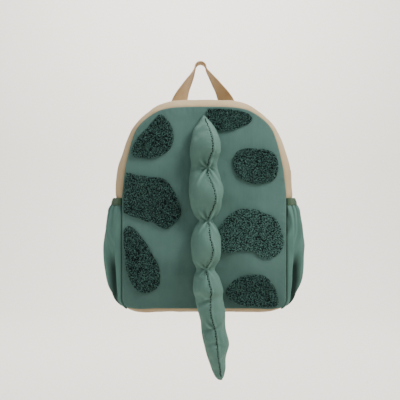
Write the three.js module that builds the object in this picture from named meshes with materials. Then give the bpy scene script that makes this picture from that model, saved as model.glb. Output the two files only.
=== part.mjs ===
// A small child's backpack hanging by its carry loop: an arched front panel with
// fleece patches, a puffed gusset with a zip, two gathered side pockets, padded
// shoulder straps and a stuffed tail that runs down the front.
// Millimetres, X to the right, Y to the back, Z up. The origin is the point
// under the crown of the carry loop where it hangs.

import * as THREE from 'three';

// Bag body
const PANEL_WIDTH = 226;
const PANEL_HEIGHT = 278;
const PANEL_WALL = 2;
const PANEL_CROWN = 9;
const CORNER_RADIUS = 13;
const GUSSET_DEPTH = 90;
const GUSSET_PUFF = 15;
const GUSSET_WALL = 2;
const BACK_PAD = 8;
const BACK_EDGE = 3;
const SEAM_GAP = 0.3;

// Zip along the upper gusset, its places given in shares of the gusset depth
const ZIP_TAPE = 1;
const ZIP_RIDGE = 2.4;
const ZIP_MOUTH = { front: 0.6, back: 0.74 };
const ZIP_HEM = 0.04;
const ZIP_TEETH = 0.05;
const SLIDER_LENGTH = 12;
const SLIDER_WIDTH = 8;
const SLIDER_HEIGHT = 3;
const PULL_LENGTH = 24;
const PULL_WIDTH = 5;
const PULL_THICK = 1.6;

// Side pockets
const POCKET_SWELL = 33;
const POCKET_WALL = 1.5;
const BAND_WALL = 2.5;

// Fleece patches
const PATCH_REACH = 40;
const PATCH_PILE = 3;
const PATCH_INSET = 2.5;
const PATCH_GAP = 0.5;

// Tail
const TAIL_LENGTH = 362;
const TAIL_WIDTH = 44;
const TAIL_DEPTH = 36;
const TAIL_TOP_DROP = 13;

// Carry loop
const HANG_DROP = 81;
const BAG_SHIFT = 5;
const HOOK_RADIUS = 7.5;
const LOOP_SPREAD = 43;
const LOOP_WIDTH = 25;
const LOOP_THICK = 1.6;

// Shoulder straps
const PAD_TOP_ACROSS = 34;
const PAD_TOP_DROP = 26;
const PAD_WIDTH = 50;
const PAD_THICK = 8;
const PAD_ARCH = 33;
const STRAP_FOOT_INSET = 23;
const STRAP_FOOT_UP = 14;
const STRAP_LEAN = 14;
const STRAP_WIDTH = 20;
const STRAP_THICK = 1.2;
const STRAP_TAIL = 46;
const BUCKLE_UP = 60;
const BUCKLE_BAR = 3;
const BUCKLE_SLOT = 6;
const BUCKLE_RIM = 3;
const PAD_TAB = 9;

// Right half of the panel's arched top, from the middle down to the side seam.
// up is a share of the panel's height, out of its half width, puff of the
// gusset's puff.
const ARCH = [
  { up: 1, out: 0, puff: 1 },
  { up: 0.999, out: 0.24, puff: 1 },
  { up: 0.994, out: 0.41, puff: 0.96 },
  { up: 0.983, out: 0.53, puff: 0.86 },
  { up: 0.958, out: 0.645, puff: 0.76 },
  { up: 0.924, out: 0.752, puff: 0.71 },
  { up: 0.884, out: 0.829, puff: 0.73 },
  { up: 0.834, out: 0.878, puff: 0.8 },
  { up: 0.76, out: 0.928, puff: 0.88 },
  { up: 0.685, out: 0.966, puff: 0.95 },
  { up: 0.62, out: 0.985, puff: 1 },
  { up: 0.56, out: 1, puff: 0.95 },
];

// The side below that seam and its bottom corner, top to bottom. reach is how
// far the pocket stands out of the side seam, as a share of its swell, and fold
// how far its belly has folded in behind the front edge.
const SIDE = [
  { up: 0.56, puff: 0.95 },
  { up: 0.541, puff: 0.82, reach: 0.64, fold: 0 },
  { up: 0.506, puff: 0.74, reach: 0.66, fold: 0 },
  { up: 0.487, puff: 0.72, reach: 0.74, fold: 0 },
  { up: 0.437, puff: 0.6, reach: 0.84, fold: 0 },
  { up: 0.387, puff: 0.48, reach: 0.91, fold: 0.05 },
  { up: 0.337, puff: 0.41, reach: 0.96, fold: 0.2 },
  { up: 0.288, puff: 0.37, reach: 1, fold: 0.45 },
  { up: 0.238, puff: 0.33, reach: 0.985, fold: 0.75 },
  { up: 0.188, puff: 0.31, reach: 0.95, fold: 0.95 },
  { up: 0.139, puff: 0.3, reach: 0.9, fold: 1 },
  { up: 0.097, puff: 0.32, reach: 0.8, fold: 1 },
  { up: 0.065, puff: 0.36, reach: 0.67, fold: 0.9 },
  { up: 0.042, puff: 0.4, reach: 0.55, fold: 0.7 },
  { up: 0.02, puff: 0.45, reach: 0.34, fold: 0.4 },
  { up: 0.007, puff: 0.47, reach: 0, fold: 0 },
];
const BAND_ROW = 1;
const MOUTH_ROW = 2;

// The bottom, from its corner to the middle: out is a share of the half width
const BASE = [
  { out: 0.87, puff: 0.57 },
  { out: 0.58, puff: 0.74 },
  { out: 0.29, puff: 0.72 },
  { out: 0, puff: 0.72 },
];

// Sections through gusset and pocket, front to back: depth is a share of the
// gusset depth, belly and mouth of how far the pocket stands out there.
const SECTION = [
  { depth: 0, belly: 0, mouth: 0 },
  { depth: 0.04, belly: 0.24, mouth: 0.34 },
  { depth: 0.12, belly: 0.02, mouth: 0.5 },
  { depth: 0.22, belly: 0.42, mouth: 0.84 },
  { depth: 0.363, belly: 0.84, mouth: 0.88 },
  { depth: 0.5, belly: 1, mouth: 1 },
  { depth: 0.637, belly: 0.98, mouth: 0.92 },
  { depth: 0.78, belly: 0.8, mouth: 0.88 },
  { depth: 0.92, belly: 0.4, mouth: 0.42 },
  { depth: 1, belly: 0, mouth: 0 },
];

// Patches: the middle as shares of the panel's width and height, and the reach
// of the edge from it at the twelve hours of a clock, as shares of PATCH_REACH
const PATCHES = [
  { across: -0.31, up: 0.839,
    reach: [0.65, 0.86, 0.75, 0.7, 0.68, 0.63, 0.66, 0.78, 0.85, 0.51, 0.45, 0.46] },
  { across: 0.146, up: 0.938,
    reach: [0.37, 0.36, 0.53, 0.82, 0.51, 0.42, 0.4, 0.49, 0.55, 0.72, 0.78, 0.46] },
  { across: 0.317, up: 0.705,
    reach: [0.59, 0.65, 0.75, 0.75, 0.77, 0.66, 0.61, 0.63, 0.74, 0.79, 0.83, 0.69] },
  { across: -0.317, up: 0.536,
    reach: [0.77, 0.83, 0.81, 0.89, 1.11, 1.1, 0.74, 0.76, 1.08, 1, 1.2, 0.93] },
  { across: 0.293, up: 0.382,
    reach: [0.77, 0.74, 0.9, 1, 1.19, 1.07, 0.66, 0.74, 1.24, 1.16, 1, 0.87] },
  { across: -0.372, up: 0.228,
    reach: [0.81, 0.5, 0.43, 0.5, 0.67, 0.98, 1.04, 0.79, 0.63, 0.6, 0.71, 1.3] },
  { across: 0.305, up: 0.079,
    reach: [0.64, 0.67, 0.68, 0.76, 0.94, 0.7, 0.6, 0.53, 0.72, 0.96, 0.84, 0.69] },
];

// Tail sections, top to end: down is a share of the length, left, seam and
// right of the width, from the bag's middle, and thick of the depth. The width
// and depth draw in where the tail is stitched down and tied off.
const TAIL = [
  { down: 0, left: -0.06, seam: -0.03, right: 0, thick: 0.1 },
  { down: 0.015, left: -0.13, seam: 0.02, right: 0.11, thick: 0.3 },
  { down: 0.034, left: -0.22, seam: 0.08, right: 0.25, thick: 0.5 },
  { down: 0.063, left: -0.34, seam: 0.165, right: 0.43, thick: 0.75 },
  { down: 0.1, left: -0.41, seam: 0.235, right: 0.49, thick: 0.95 },
  { down: 0.138, left: -0.43, seam: 0.24, right: 0.51, thick: 1 },
  { down: 0.175, left: -0.42, seam: 0.14, right: 0.4, thick: 0.8 },
  { down: 0.205, left: -0.42, seam: 0.095, right: 0.415, thick: 0.5 },
  { down: 0.235, left: -0.45, seam: 0.14, right: 0.49, thick: 0.8 },
  { down: 0.279, left: -0.47, seam: 0.28, right: 0.57, thick: 1 },
  { down: 0.317, left: -0.45, seam: 0.325, right: 0.545, thick: 1 },
  { down: 0.35, left: -0.4, seam: 0.26, right: 0.46, thick: 0.85 },
  { down: 0.376, left: -0.31, seam: 0.165, right: 0.36, thick: 0.65 },
  { down: 0.397, left: -0.16, seam: 0.11, right: 0.23, thick: 0.45 },
  { down: 0.417, left: -0.26, seam: 0.14, right: 0.355, thick: 0.65 },
  { down: 0.454, left: -0.39, seam: 0.17, right: 0.505, thick: 0.9 },
  { down: 0.499, left: -0.41, seam: 0.25, right: 0.53, thick: 1 },
  { down: 0.54, left: -0.37, seam: 0.19, right: 0.475, thick: 0.85 },
  { down: 0.577, left: -0.25, seam: 0.065, right: 0.31, thick: 0.45 },
  { down: 0.607, left: -0.32, seam: 0.11, right: 0.445, thick: 0.7 },
  { down: 0.652, left: -0.35, seam: 0.2, right: 0.57, thick: 0.9 },
  { down: 0.685, left: -0.28, seam: 0.19, right: 0.57, thick: 0.78 },
  { down: 0.741, left: -0.18, seam: 0.2, right: 0.65, thick: 0.85 },
  { down: 0.8, left: -0.06, seam: 0.325, right: 0.67, thick: 0.72 },
  { down: 0.857, left: 0.015, seam: 0.385, right: 0.75, thick: 0.74 },
  { down: 0.912, left: 0.15, seam: 0.435, right: 0.675, thick: 0.6 },
  { down: 0.957, left: 0.27, seam: 0.49, right: 0.66, thick: 0.42 },
  { down: 0.987, left: 0.385, seam: 0.505, right: 0.58, thick: 0.22 },
  { down: 1, left: 0.47, seam: 0.49, right: 0.51, thick: 0.08 },
];

// Half of the tail's section, from the ridge seam round to the back: out is a
// share of the way from the seam line to the side, deep of the thickness there.
const TAIL_SECTION = [
  { out: 0, deep: 1 },
  { out: 0.34, deep: 0.95 },
  { out: 0.68, deep: 0.82 },
  { out: 0.92, deep: 0.6 },
  { out: 1, deep: 0.38 },
  { out: 0.9, deep: 0.13 },
  { out: 0.66, deep: 0 },
];

// One side of the carry loop, from its stitched foot to below the crown: down
// is a share of the hang drop, across of the spread, twist in degrees.
const LOOP = [
  { down: 1.28, across: 1, twist: 0 },
  { down: 1.14, across: 1, twist: 0 },
  { down: 1.02, across: 0.99, twist: 0 },
  { down: 0.88, across: 0.93, twist: 8 },
  { down: 0.73, across: 0.84, twist: 22 },
  { down: 0.6, across: 0.73, twist: 42 },
  { down: 0.47, across: 0.6, twist: 60 },
  { down: 0.34, across: 0.45, twist: 71 },
  { down: 0.22, across: 0.31, twist: 82 },
];

// Shoulder pad from its lower end to its stitched top: up is a share of its
// rise, across of its run to the side, away of its arch off the back, width of
// the pad's width.
const PAD = [
  { up: 0, across: 1, away: 0.27, width: 0.7 },
  { up: 0.04, across: 0.956, away: 0.27, width: 0.8 },
  { up: 0.12, across: 0.88, away: 0.44, width: 0.88 },
  { up: 0.25, across: 0.78, away: 0.76, width: 0.95 },
  { up: 0.42, across: 0.63, away: 0.97, width: 1 },
  { up: 0.58, across: 0.47, away: 1, width: 1 },
  { up: 0.73, across: 0.3, away: 0.82, width: 1 },
  { up: 0.85, across: 0.15, away: 0.48, width: 1 },
  { up: 0.93, across: 0.05, away: 0.16, width: 0.98 },
  { up: 0.97, across: 0.01, away: 0, width: 0.96 },
  { up: 1, across: 0, away: 0, width: 0.94 },
];
const PAD_SECTION = [
  { across: -1, away: -0.2 },
  { across: -0.9, away: -0.85 },
  { across: -0.7, away: -1 },
  { across: 0.7, away: -1 },
  { across: 0.9, away: -0.85 },
  { across: 1, away: -0.2 },
  { across: 1, away: 0.2 },
  { across: 0.9, away: 0.85 },
  { across: 0.7, away: 1 },
  { across: -0.7, away: 1 },
  { across: -0.9, away: 0.85 },
  { across: -1, away: 0.2 },
];

// Depths that the pieces share, in the bag's frame
const BACK_FACE = -LOOP_THICK / 2 - SEAM_GAP;
const BACK_INNER = BACK_FACE - BACK_PAD;
const GUSSET_BACK = BACK_INNER - SEAM_GAP;
const GUSSET_FRONT = GUSSET_BACK - GUSSET_DEPTH;
const RIM_REAR = GUSSET_FRONT - SEAM_GAP;
const RIM_FRONT = RIM_REAR - PANEL_WALL;
const HALF_WIDTH = PANEL_WIDTH / 2;
const MIDDLE_UP = PANEL_HEIGHT / 2;
const STRAP_FOOT_ACROSS = HALF_WIDTH - STRAP_FOOT_INSET;

const cloth = (color) => new THREE.MeshStandardMaterial({ color, roughness: 0.9, metalness: 0 });
const plastic = (color) => new THREE.MeshStandardMaterial({ color, roughness: 0.5, metalness: 0 });
const MATERIALS = {
  body: cloth(0x5d8478),
  fleece: cloth(0x23382f),
  canvas: cloth(0xb59d7c),
  elastic: cloth(0x4e6650),
  webbing: cloth(0xb8986c),
  tape: cloth(0x8f7a5d),
  buckle: plastic(0x6d5c45),
};

const mix = THREE.MathUtils.lerp;
const radians = THREE.MathUtils.degToRad;

// Joins rings of equal length into one closed body with its faces outward. A
// ring of one point closes an end, and any other end ring is capped.
function loft(rings) {
  const starts = [];
  const points = [];
  for (const ring of rings) {
    starts.push(points.length);
    points.push(...ring);
  }
  const faces = [];
  for (let i = 0; i + 1 < rings.length; i += 1) {
    faces.push(...between(starts[i], rings[i].length, starts[i + 1], rings[i + 1].length));
  }
  const last = rings.length - 1;
  faces.push(...cap(rings[0].length, starts[0], false), ...cap(rings[last].length, starts[last], true));
  return solid(points, faces);
}

// Faces between two rings, either of which may be a single point
function between(a, countA, b, countB) {
  const faces = [];
  const count = Math.max(countA, countB);
  for (let k = 0; k < count; k += 1) {
    const next = (k + 1) % count;
    if (countA > 1) faces.push([a + k, a + next, b + (countB > 1 ? next : 0)]);
    if (countB > 1) faces.push([a + (countA > 1 ? k : 0), b + next, b + k]);
  }
  return faces;
}

// Faces that fill an end ring, whose points face each other in pairs: the first
// and the last, the second and the last but one
function cap(count, start, ahead) {
  const faces = [];
  for (let near = 0, far = count - 1; near + 1 < far; near += 1, far -= 1) {
    faces.push([near, far - 1, far]);
    if (near + 1 < far - 1) faces.push([near, near + 1, far - 1]);
  }
  return faces.map((face) => (ahead ? face : face.reverse()).map((index) => index + start));
}

// A geometry from points and faces, turned right side out
function solid(points, faces) {
  const volume = faces.reduce(
    (sum, [i, j, k]) => sum + points[i].dot(points[j].clone().cross(points[k])), 0);
  const outward = volume > 0 ? faces : faces.map(([i, j, k]) => [i, k, j]);
  const geometry = new THREE.BufferGeometry().setFromPoints(points);
  geometry.setIndex(outward.flat());
  geometry.computeVertexNormals();
  return geometry;
}

// The seam line round the bag: clockwise from the top middle as seen from the
// front, each station with its outward normal and the gusset's puff
function archStation(row) {
  return { x: row.out * HALF_WIDTH, z: row.up * PANEL_HEIGHT, puff: row.puff };
}

function withNormals(stations) {
  return stations.map((station, k) => {
    const before = stations[Math.max(k - 1, 0)];
    const after = stations[Math.min(k + 1, stations.length - 1)];
    const rise = k === 0 ? 0 : before.z - after.z;
    const length = Math.hypot(after.x - before.x, rise);
    return { ...station, nx: rise / length, nz: (after.x - before.x) / length };
  });
}

function sideStation(row) {
  const z = row.up * PANEL_HEIGHT;
  const drop = Math.max(0, 1 - z / CORNER_RADIUS);
  const level = Math.sqrt(1 - drop * drop);
  return { ...row, x: HALF_WIDTH - CORNER_RADIUS * (1 - level), z, nx: level, nz: -drop };
}

function baseStation(row) {
  const x = Math.min(row.out * HALF_WIDTH, HALF_WIDTH - CORNER_RADIUS);
  return { x, z: 0, puff: row.puff, nx: 0, nz: -1 };
}

const mirrored = (station) => ({ ...station, x: -station.x, nx: -station.nx });
const archRight = withNormals(ARCH.map(archStation));
const sideRight = SIDE.map(sideStation);
const baseRight = BASE.map(baseStation);
const archRun = [...archRight.slice(1).reverse().map(mirrored), ...archRight];
const lowerHalf = [...sideRight, ...baseRight];
const lowerRun = [...lowerHalf, ...lowerHalf.slice(0, -1).reverse().map(mirrored)];
const seamLoop = [...archRun, ...lowerRun.slice(1, -1)];

// How far the gusset's outer face stands out of the seam line at a depth
function gussetOut(station, depth) {
  const profile = Math.min(1, 1.08 * Math.sin(Math.PI * depth) ** 0.8);
  return GUSSET_PUFF * station.puff * profile;
}

// A point at a station, at a share of the gusset depth and an outward distance
function atStation(station, depth, out) {
  return new THREE.Vector3(
    station.x + station.nx * out, mix(GUSSET_FRONT, GUSSET_BACK, depth), station.z + station.nz * out);
}

// A wall swept along stations, between its outer and its inner face
function wall(stations, depths, outer, inner) {
  return loft(stations.map((station) => [
    ...depths.map((depth, k) => atStation(station, depth, outer(station, depth, k))),
    ...depths.map((depth, k) => atStation(station, depth, inner(station, depth, k))).reverse(),
  ]));
}

// Panels: a closed disc whose outline shrinks to a point in front and behind
function disc(outline, centre, profile, place) {
  return loft(profile.map((row) => {
    const count = row.share > 0 ? outline.length : 1;
    return outline.slice(0, count).map((p) => {
      const x = mix(centre.x, p.x, row.share);
      const z = mix(centre.z, p.z, row.share);
      return new THREE.Vector3(x, place(row, x, z), z);
    });
  }));
}

function frontPanel() {
  const shares = [0, 0.28, 0.54, 0.78, 0.94, 1];
  const front = shares.map((share) => ({ share, y: RIM_FRONT - PANEL_CROWN * (1 - share * share) }));
  const rear = front.map((row) => ({ ...row, y: row.y + PANEL_WALL })).reverse();
  return disc(seamLoop, { x: 0, z: MIDDLE_UP }, [...front, ...rear], (row) => row.y);
}

function backPanel() {
  const profile = [
    { share: 0, y: BACK_INNER },
    { share: 1, y: BACK_INNER },
    { share: 1, y: BACK_INNER + BACK_EDGE },
    { share: 0.97, y: mix(BACK_INNER + BACK_EDGE, BACK_FACE, 0.7) },
    { share: 0.92, y: BACK_FACE },
    { share: 0, y: BACK_FACE },
  ];
  return disc(seamLoop, { x: 0, z: MIDDLE_UP }, profile, (row) => row.y);
}

// How far out a point of the panel lies, from 0 in the middle to 1 at the seam
function rimShare(x, z) {
  const dx = x;
  const dz = z - MIDDLE_UP;
  for (let k = 0; k < seamLoop.length; k += 1) {
    const a = seamLoop[k];
    const b = seamLoop[(k + 1) % seamLoop.length];
    const ex = b.x - a.x;
    const ez = b.z - a.z;
    const cross = dx * ez - dz * ex;
    const reach = (a.x * ez - (a.z - MIDDLE_UP) * ex) / cross;
    const along = (a.x * dz - (a.z - MIDDLE_UP) * dx) / cross;
    if (cross !== 0 && reach > 0 && along >= 0 && along <= 1) return 1 / reach;
  }
  return 0;
}

// The crowned front face of the panel, carried on level below its bottom seam
function panelFront(x, z) {
  const share = Math.min(1, rimShare(x, z));
  return RIM_FRONT - PANEL_CROWN * (1 - share * share);
}

// Gusset: two strips either side of the zip over the top, and one wall round
// the sides and the bottom
const gussetIn = (station, depth) => gussetOut(station, depth) - GUSSET_WALL;
const lowered = (station) => ({ ...station, z: station.z - SEAM_GAP });

function gussetUpper(from, to) {
  const inner = SECTION.map((row) => row.depth).filter((depth) => depth > from && depth < to);
  return wall(archRun, [from, ...inner, to], gussetOut, gussetIn);
}

function gussetLower() {
  const stations = [lowered(lowerRun[0]), ...lowerRun.slice(1, -1), lowered(lowerRun.at(-1))];
  return wall(stations, SECTION.map((row) => row.depth), gussetOut, gussetIn);
}

// Zip: a tape behind the two strips, with its row of teeth standing in the gap
const zipMiddle = (ZIP_MOUTH.front + ZIP_MOUTH.back) / 2;

const tapeOut = (station, depth) => gussetIn(station, depth) - SEAM_GAP;
const tapeIn = (station, depth) => tapeOut(station, depth) - ZIP_TAPE;
const teethOut = (station) => tapeOut(station, zipMiddle) + ZIP_RIDGE;

function zip() {
  const [low, high] = [ZIP_TEETH / 2, 0.7 * ZIP_TEETH / 2];
  const teeth = [-low, -high, high, low].map((offset) => zipMiddle + offset);
  const depths = [ZIP_MOUTH.front - ZIP_HEM, ...teeth, ZIP_MOUTH.back + ZIP_HEM];
  const outer = (station, depth) => (
    Math.abs(depth - zipMiddle) < (low + high) / 2 ? teethOut(station) : tapeOut(station, depth));
  return wall(archRun, depths, outer, tapeIn);
}

// Zip slider with its pull, on the teeth just above the end of the zip
function zipSlider() {
  const [foot, above] = archRun.slice(-2).reverse();
  const start = atStation(foot, zipMiddle, teethOut(foot) + SEAM_GAP);
  const ahead = atStation(above, zipMiddle, teethOut(above) + SEAM_GAP);
  const along = ahead.sub(start).normalize();
  const side = new THREE.Vector3(0, 1, 0);
  const up = side.clone().cross(along);
  const rows = [
    { at: 0.5, width: PULL_WIDTH, low: SLIDER_HEIGHT - PULL_THICK, high: SLIDER_HEIGHT },
    { at: PULL_LENGTH, width: PULL_WIDTH, low: SLIDER_HEIGHT - PULL_THICK, high: SLIDER_HEIGHT },
    { at: PULL_LENGTH, width: SLIDER_WIDTH, low: 0, high: SLIDER_HEIGHT },
    { at: PULL_LENGTH + SLIDER_LENGTH, width: SLIDER_WIDTH, low: 0, high: SLIDER_HEIGHT },
  ];
  return loft(rows.map((row) => [[-1, 'low'], [1, 'low'], [1, 'high'], [-1, 'high']].map(
    ([half, level]) => start.clone().addScaledVector(along, row.at)
      .addScaledVector(side, half * row.width / 2).addScaledVector(up, row[level]))));
}

// Pocket and band stand out of the gusset by the reach of their row
function pocketOut(station, depth, k, thick) {
  const close = (share) => gussetOut(station, share) + SEAM_GAP + thick;
  const swell = Math.max(0, station.reach * POCKET_SWELL - close(0.5));
  const shape = mix(SECTION[k].mouth, SECTION[k].belly, station.fold);
  return close(depth) + swell * shape;
}

function pocketWall(stations, thick) {
  const outer = (station, depth, k) => pocketOut(station, depth, k, thick);
  const inner = (station, depth, k) => outer(station, depth, k) - thick;
  return wall(stations, SECTION.map((row) => row.depth), outer, inner);
}

function pocket(place) {
  return pocketWall(sideRight.slice(MOUTH_ROW).map(place), POCKET_WALL);
}

function pocketBand(place) {
  const mouth = sideRight[MOUTH_ROW];
  const foot = { ...mouth, z: mouth.z + SEAM_GAP };
  return pocketWall([sideRight[BAND_ROW], foot].map(place), BAND_WALL);
}

// Tail: its rows joined by a smooth curve through each column
function tailStations() {
  const smooth = (column) => new THREE.SplineCurve(TAIL.map((row, k) => new THREE.Vector2(k, row[column])));
  const columns = ['down', 'left', 'seam', 'right', 'thick'].map((name) => [name, smooth(name)]);
  const count = 2 * (TAIL.length - 1);
  return Array.from({ length: count + 1 }, (_, k) => Object.fromEntries(
    columns.map(([name, curve]) => [name, curve.getPoint(k / count).y])));
}

const tailRows = tailStations().map((row) => ({
  z: PANEL_HEIGHT - TAIL_TOP_DROP - row.down * TAIL_LENGTH,
  left: row.left * TAIL_WIDTH,
  seam: row.seam * TAIL_WIDTH,
  right: row.right * TAIL_WIDTH,
  thick: row.thick * TAIL_DEPTH,
}));

function tail() {
  const back = TAIL_SECTION.slice(1).reverse();
  return loft(tailRows.map((row) => {
    const point = (side) => ({ out, deep }) => {
      const x = mix(row.seam, row[side], out);
      return new THREE.Vector3(x, panelFront(x, row.z) - SEAM_GAP - deep * row.thick, row.z);
    };
    return [...TAIL_SECTION.map(point('right')), ...back.map(point('left'))];
  }));
}

// Patches, cut back where the tail or the panel's seam is
function clearOfTail(x, z, side) {
  const row = tailRows.find((_, k) => tailRows[k + 1] && z <= tailRows[k].z && z > tailRows[k + 1].z);
  if (!row) return x;
  const next = tailRows[tailRows.indexOf(row) + 1];
  const share = (row.z - z) / (row.z - next.z);
  const seam = mix(row.seam, next.seam, share);
  const edge = mix(row[side], next[side], share);
  const limit = mix(seam, edge, TAIL_SECTION.at(-3).out);
  return side === 'right' ? Math.max(x, limit + 2 * SEAM_GAP) : Math.min(x, limit - 2 * SEAM_GAP);
}

function patch({ across, up, reach }) {
  const centre = { x: across * PANEL_WIDTH, z: up * PANEL_HEIGHT };
  const side = across > 0 ? 'right' : 'left';
  const hours = reach.map((share, hour) => {
    const angle = (hour / reach.length) * 2 * Math.PI;
    const distance = share * PATCH_REACH;
    return new THREE.Vector3(
      centre.x + Math.sin(angle) * distance, 0, centre.z + Math.cos(angle) * distance);
  });
  const edge = new THREE.CatmullRomCurve3(hours, true).getPoints(2 * hours.length).slice(1);
  const limit = 1 - PATCH_INSET / HALF_WIDTH;
  const outline = edge.map((p) => {
    const x = clearOfTail(p.x, p.z, side);
    const draw = Math.min(1, limit / rimShare(x, p.z));
    return { x: x * draw, z: mix(MIDDLE_UP, p.z, draw) };
  });
  const front = [0, 0.4, 0.75, 1].map((share) => ({ share, off: PATCH_GAP + PATCH_PILE }));
  const rear = front.map((row) => ({ ...row, off: PATCH_GAP })).reverse();
  return disc(outline, centre, [...front, ...rear], (row, x, z) => panelFront(x, z) - row.off);
}

// Webbing: a flat band of rectangular sections along a path
function ribbon(path, width, thick) {
  return loft(path.map(({ point, side }, k) => {
    const before = path[Math.max(k - 1, 0)].point;
    const after = path[Math.min(k + 1, path.length - 1)].point;
    const face = after.clone().sub(before).normalize().cross(side);
    return [[-1, -1], [1, -1], [1, 1], [-1, 1]].map(([a, b]) => point.clone()
      .addScaledVector(side, a * width / 2).addScaledVector(face, b * thick / 2));
  }));
}

function carryLoop() {
  const strand = (sign) => LOOP.map((row) => ({
    x: sign * row.across * LOOP_SPREAD + BAG_SHIFT * Math.min(1, row.down),
    z: -row.down * HANG_DROP,
    twist: row.twist,
  }));
  const radius = HOOK_RADIUS + LOOP_THICK / 2;
  const crown = [180, 155, 130, 110, 90, 70, 50, 25, 0].map((turn) => ({
    x: radius * Math.cos(radians(turn)),
    z: radius * Math.sin(radians(turn)) - HOOK_RADIUS,
    twist: 90,
  }));
  const line = [...strand(-1), ...crown, ...strand(1).reverse()];
  const path = line.map((p, k) => {
    const before = line[Math.max(k - 1, 0)];
    const after = line[Math.min(k + 1, line.length - 1)];
    const along = new THREE.Vector3(after.x - before.x, 0, after.z - before.z).normalize();
    const level = new THREE.Vector3(-along.z, 0, along.x).multiplyScalar(Math.cos(radians(p.twist)));
    return { point: new THREE.Vector3(p.x, 0, p.z), side: level.setY(-Math.sin(radians(p.twist))) };
  });
  return ribbon(path, LOOP_WIDTH, LOOP_THICK);
}

// Straps, in the frame of their lower run: Z along the webbing, from its foot
const SEAT = BACK_FACE + SEAM_GAP;
const padSeat = SEAT + PAD_THICK / 2;
const buckleBack = padSeat + PAD[0].away * PAD_ARCH;
const barPitch = BUCKLE_BAR + BUCKLE_SLOT;
const padFoot = BUCKLE_UP + barPitch + BUCKLE_BAR / 2 + PAD_TAB;

// A half turn of webbing round a bar, from the side next to the back outwards
function halfTurn(centre, upward) {
  const step = 45;
  const clear = BUCKLE_BAR * Math.SQRT1_2 + SEAM_GAP;
  const radius = clear / Math.cos(radians(step / 2)) + STRAP_THICK / 2;
  return [-2, -1, 0, 1, 2].map((k) => k * step).map((turn) => ({
    y: buckleBack + radius * Math.sin(radians(turn)),
    z: centre + upward * radius * Math.cos(radians(turn)),
  }));
}

function webbing(line) {
  const side = new THREE.Vector3(1, 0, 0);
  const path = line.map(({ y, z }) => ({ point: new THREE.Vector3(0, y, z), side }));
  return ribbon(path, STRAP_WIDTH, STRAP_THICK);
}

function strapWebbing() {
  const turn = halfTurn(BUCKLE_UP, 1);
  const lying = SEAT + STRAP_THICK / 2;
  const foot = [0, 0.1, 0.2].map((share) => ({ y: lying, z: share * BUCKLE_UP }));
  const rise = [0.08, 0.6, 0.95].map((share, k) => (
    { y: mix(lying, turn[0].y, share), z: BUCKLE_UP * [0.3, 0.5, 0.68][k] }));
  const free = [0.2, 0.5, 0.8, 1].map((share) => (
    { y: turn.at(-1).y + 2 * share, z: BUCKLE_UP - share * STRAP_TAIL }));
  return webbing([...foot, ...rise, ...turn, ...free]);
}

function padTab() {
  const turn = halfTurn(BUCKLE_UP + barPitch, -1);
  const end = padFoot - 2 * SEAM_GAP;
  return webbing([{ y: turn[0].y, z: end }, ...turn, { y: turn.at(-1).y, z: end }]);
}

function buckle() {
  const slotHalf = STRAP_WIDTH / 2 + SEAM_GAP * 2;
  const half = slotHalf + BUCKLE_RIM;
  const [low, high] = [BUCKLE_UP - barPitch - BUCKLE_BAR / 2, BUCKLE_UP + barPitch + BUCKLE_BAR / 2];
  const rectangle = (x, bottom, top) => [[-x, bottom], [x, bottom], [x, top], [-x, top]].map(
    ([a, b]) => new THREE.Vector2(a, b));
  const shape = new THREE.Shape(rectangle(half, low, high));
  for (const bar of [BUCKLE_UP - barPitch, BUCKLE_UP]) {
    const bottom = bar + BUCKLE_BAR / 2;
    shape.holes.push(new THREE.Path(rectangle(slotHalf, bottom, bottom + BUCKLE_SLOT)));
  }
  const plate = new THREE.ExtrudeGeometry(shape, { depth: BUCKLE_BAR, bevelEnabled: false });
  return plate.rotateX(Math.PI / 2).translate(0, buckleBack + BUCKLE_BAR / 2, 0);
}

// Padded part of a strap, in the bag's frame, for the right or the left side
function shoulderPad(sign) {
  const lean = radians(STRAP_LEAN);
  const low = {
    x: STRAP_FOOT_ACROSS - padFoot * Math.sin(lean),
    z: STRAP_FOOT_UP + padFoot * Math.cos(lean),
  };
  const line = PAD.map((row) => new THREE.Vector3(
    sign * mix(PAD_TOP_ACROSS, low.x, row.across),
    padSeat + row.away * PAD_ARCH,
    mix(low.z, PANEL_HEIGHT - PAD_TOP_DROP, row.up)));
  return loft(line.map((point, k) => {
    const before = line[Math.max(k - 1, 0)];
    const after = line[Math.min(k + 1, line.length - 1)];
    const along = after.clone().sub(before).normalize();
    const side = new THREE.Vector3(along.z, 0, -along.x).normalize();
    const away = along.clone().cross(side).normalize();
    return PAD_SECTION.map((row) => point.clone()
      .addScaledVector(side, row.across * PAD[k].width * PAD_WIDTH / 2)
      .addScaledVector(away, -row.away * PAD_THICK / 2));
  }));
}

// Assembly
const backpack = new THREE.Group();
const bag = new THREE.Group();
bag.position.set(BAG_SHIFT, 0, -HANG_DROP - PANEL_HEIGHT);
backpack.add(bag);

function add(parent, name, geometry, material) {
  const mesh = new THREE.Mesh(geometry, material);
  mesh.name = name;
  parent.add(mesh);
}

add(backpack, 'carry_loop', carryLoop(), MATERIALS.webbing);
add(bag, 'front_panel', frontPanel(), MATERIALS.body);
add(bag, 'back_panel', backPanel(), MATERIALS.body);
add(bag, 'gusset_upper_front', gussetUpper(0, ZIP_MOUTH.front), MATERIALS.canvas);
add(bag, 'gusset_upper_back', gussetUpper(ZIP_MOUTH.back, 1), MATERIALS.canvas);
add(bag, 'gusset_lower', gussetLower(), MATERIALS.canvas);
add(bag, 'zip', zip(), MATERIALS.tape);
add(bag, 'zip_slider', zipSlider(), MATERIALS.buckle);
add(bag, 'tail', tail(), MATERIALS.body);
PATCHES.forEach((row, k) => add(bag, `patch_${k + 1}`, patch(row), MATERIALS.fleece));

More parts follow.
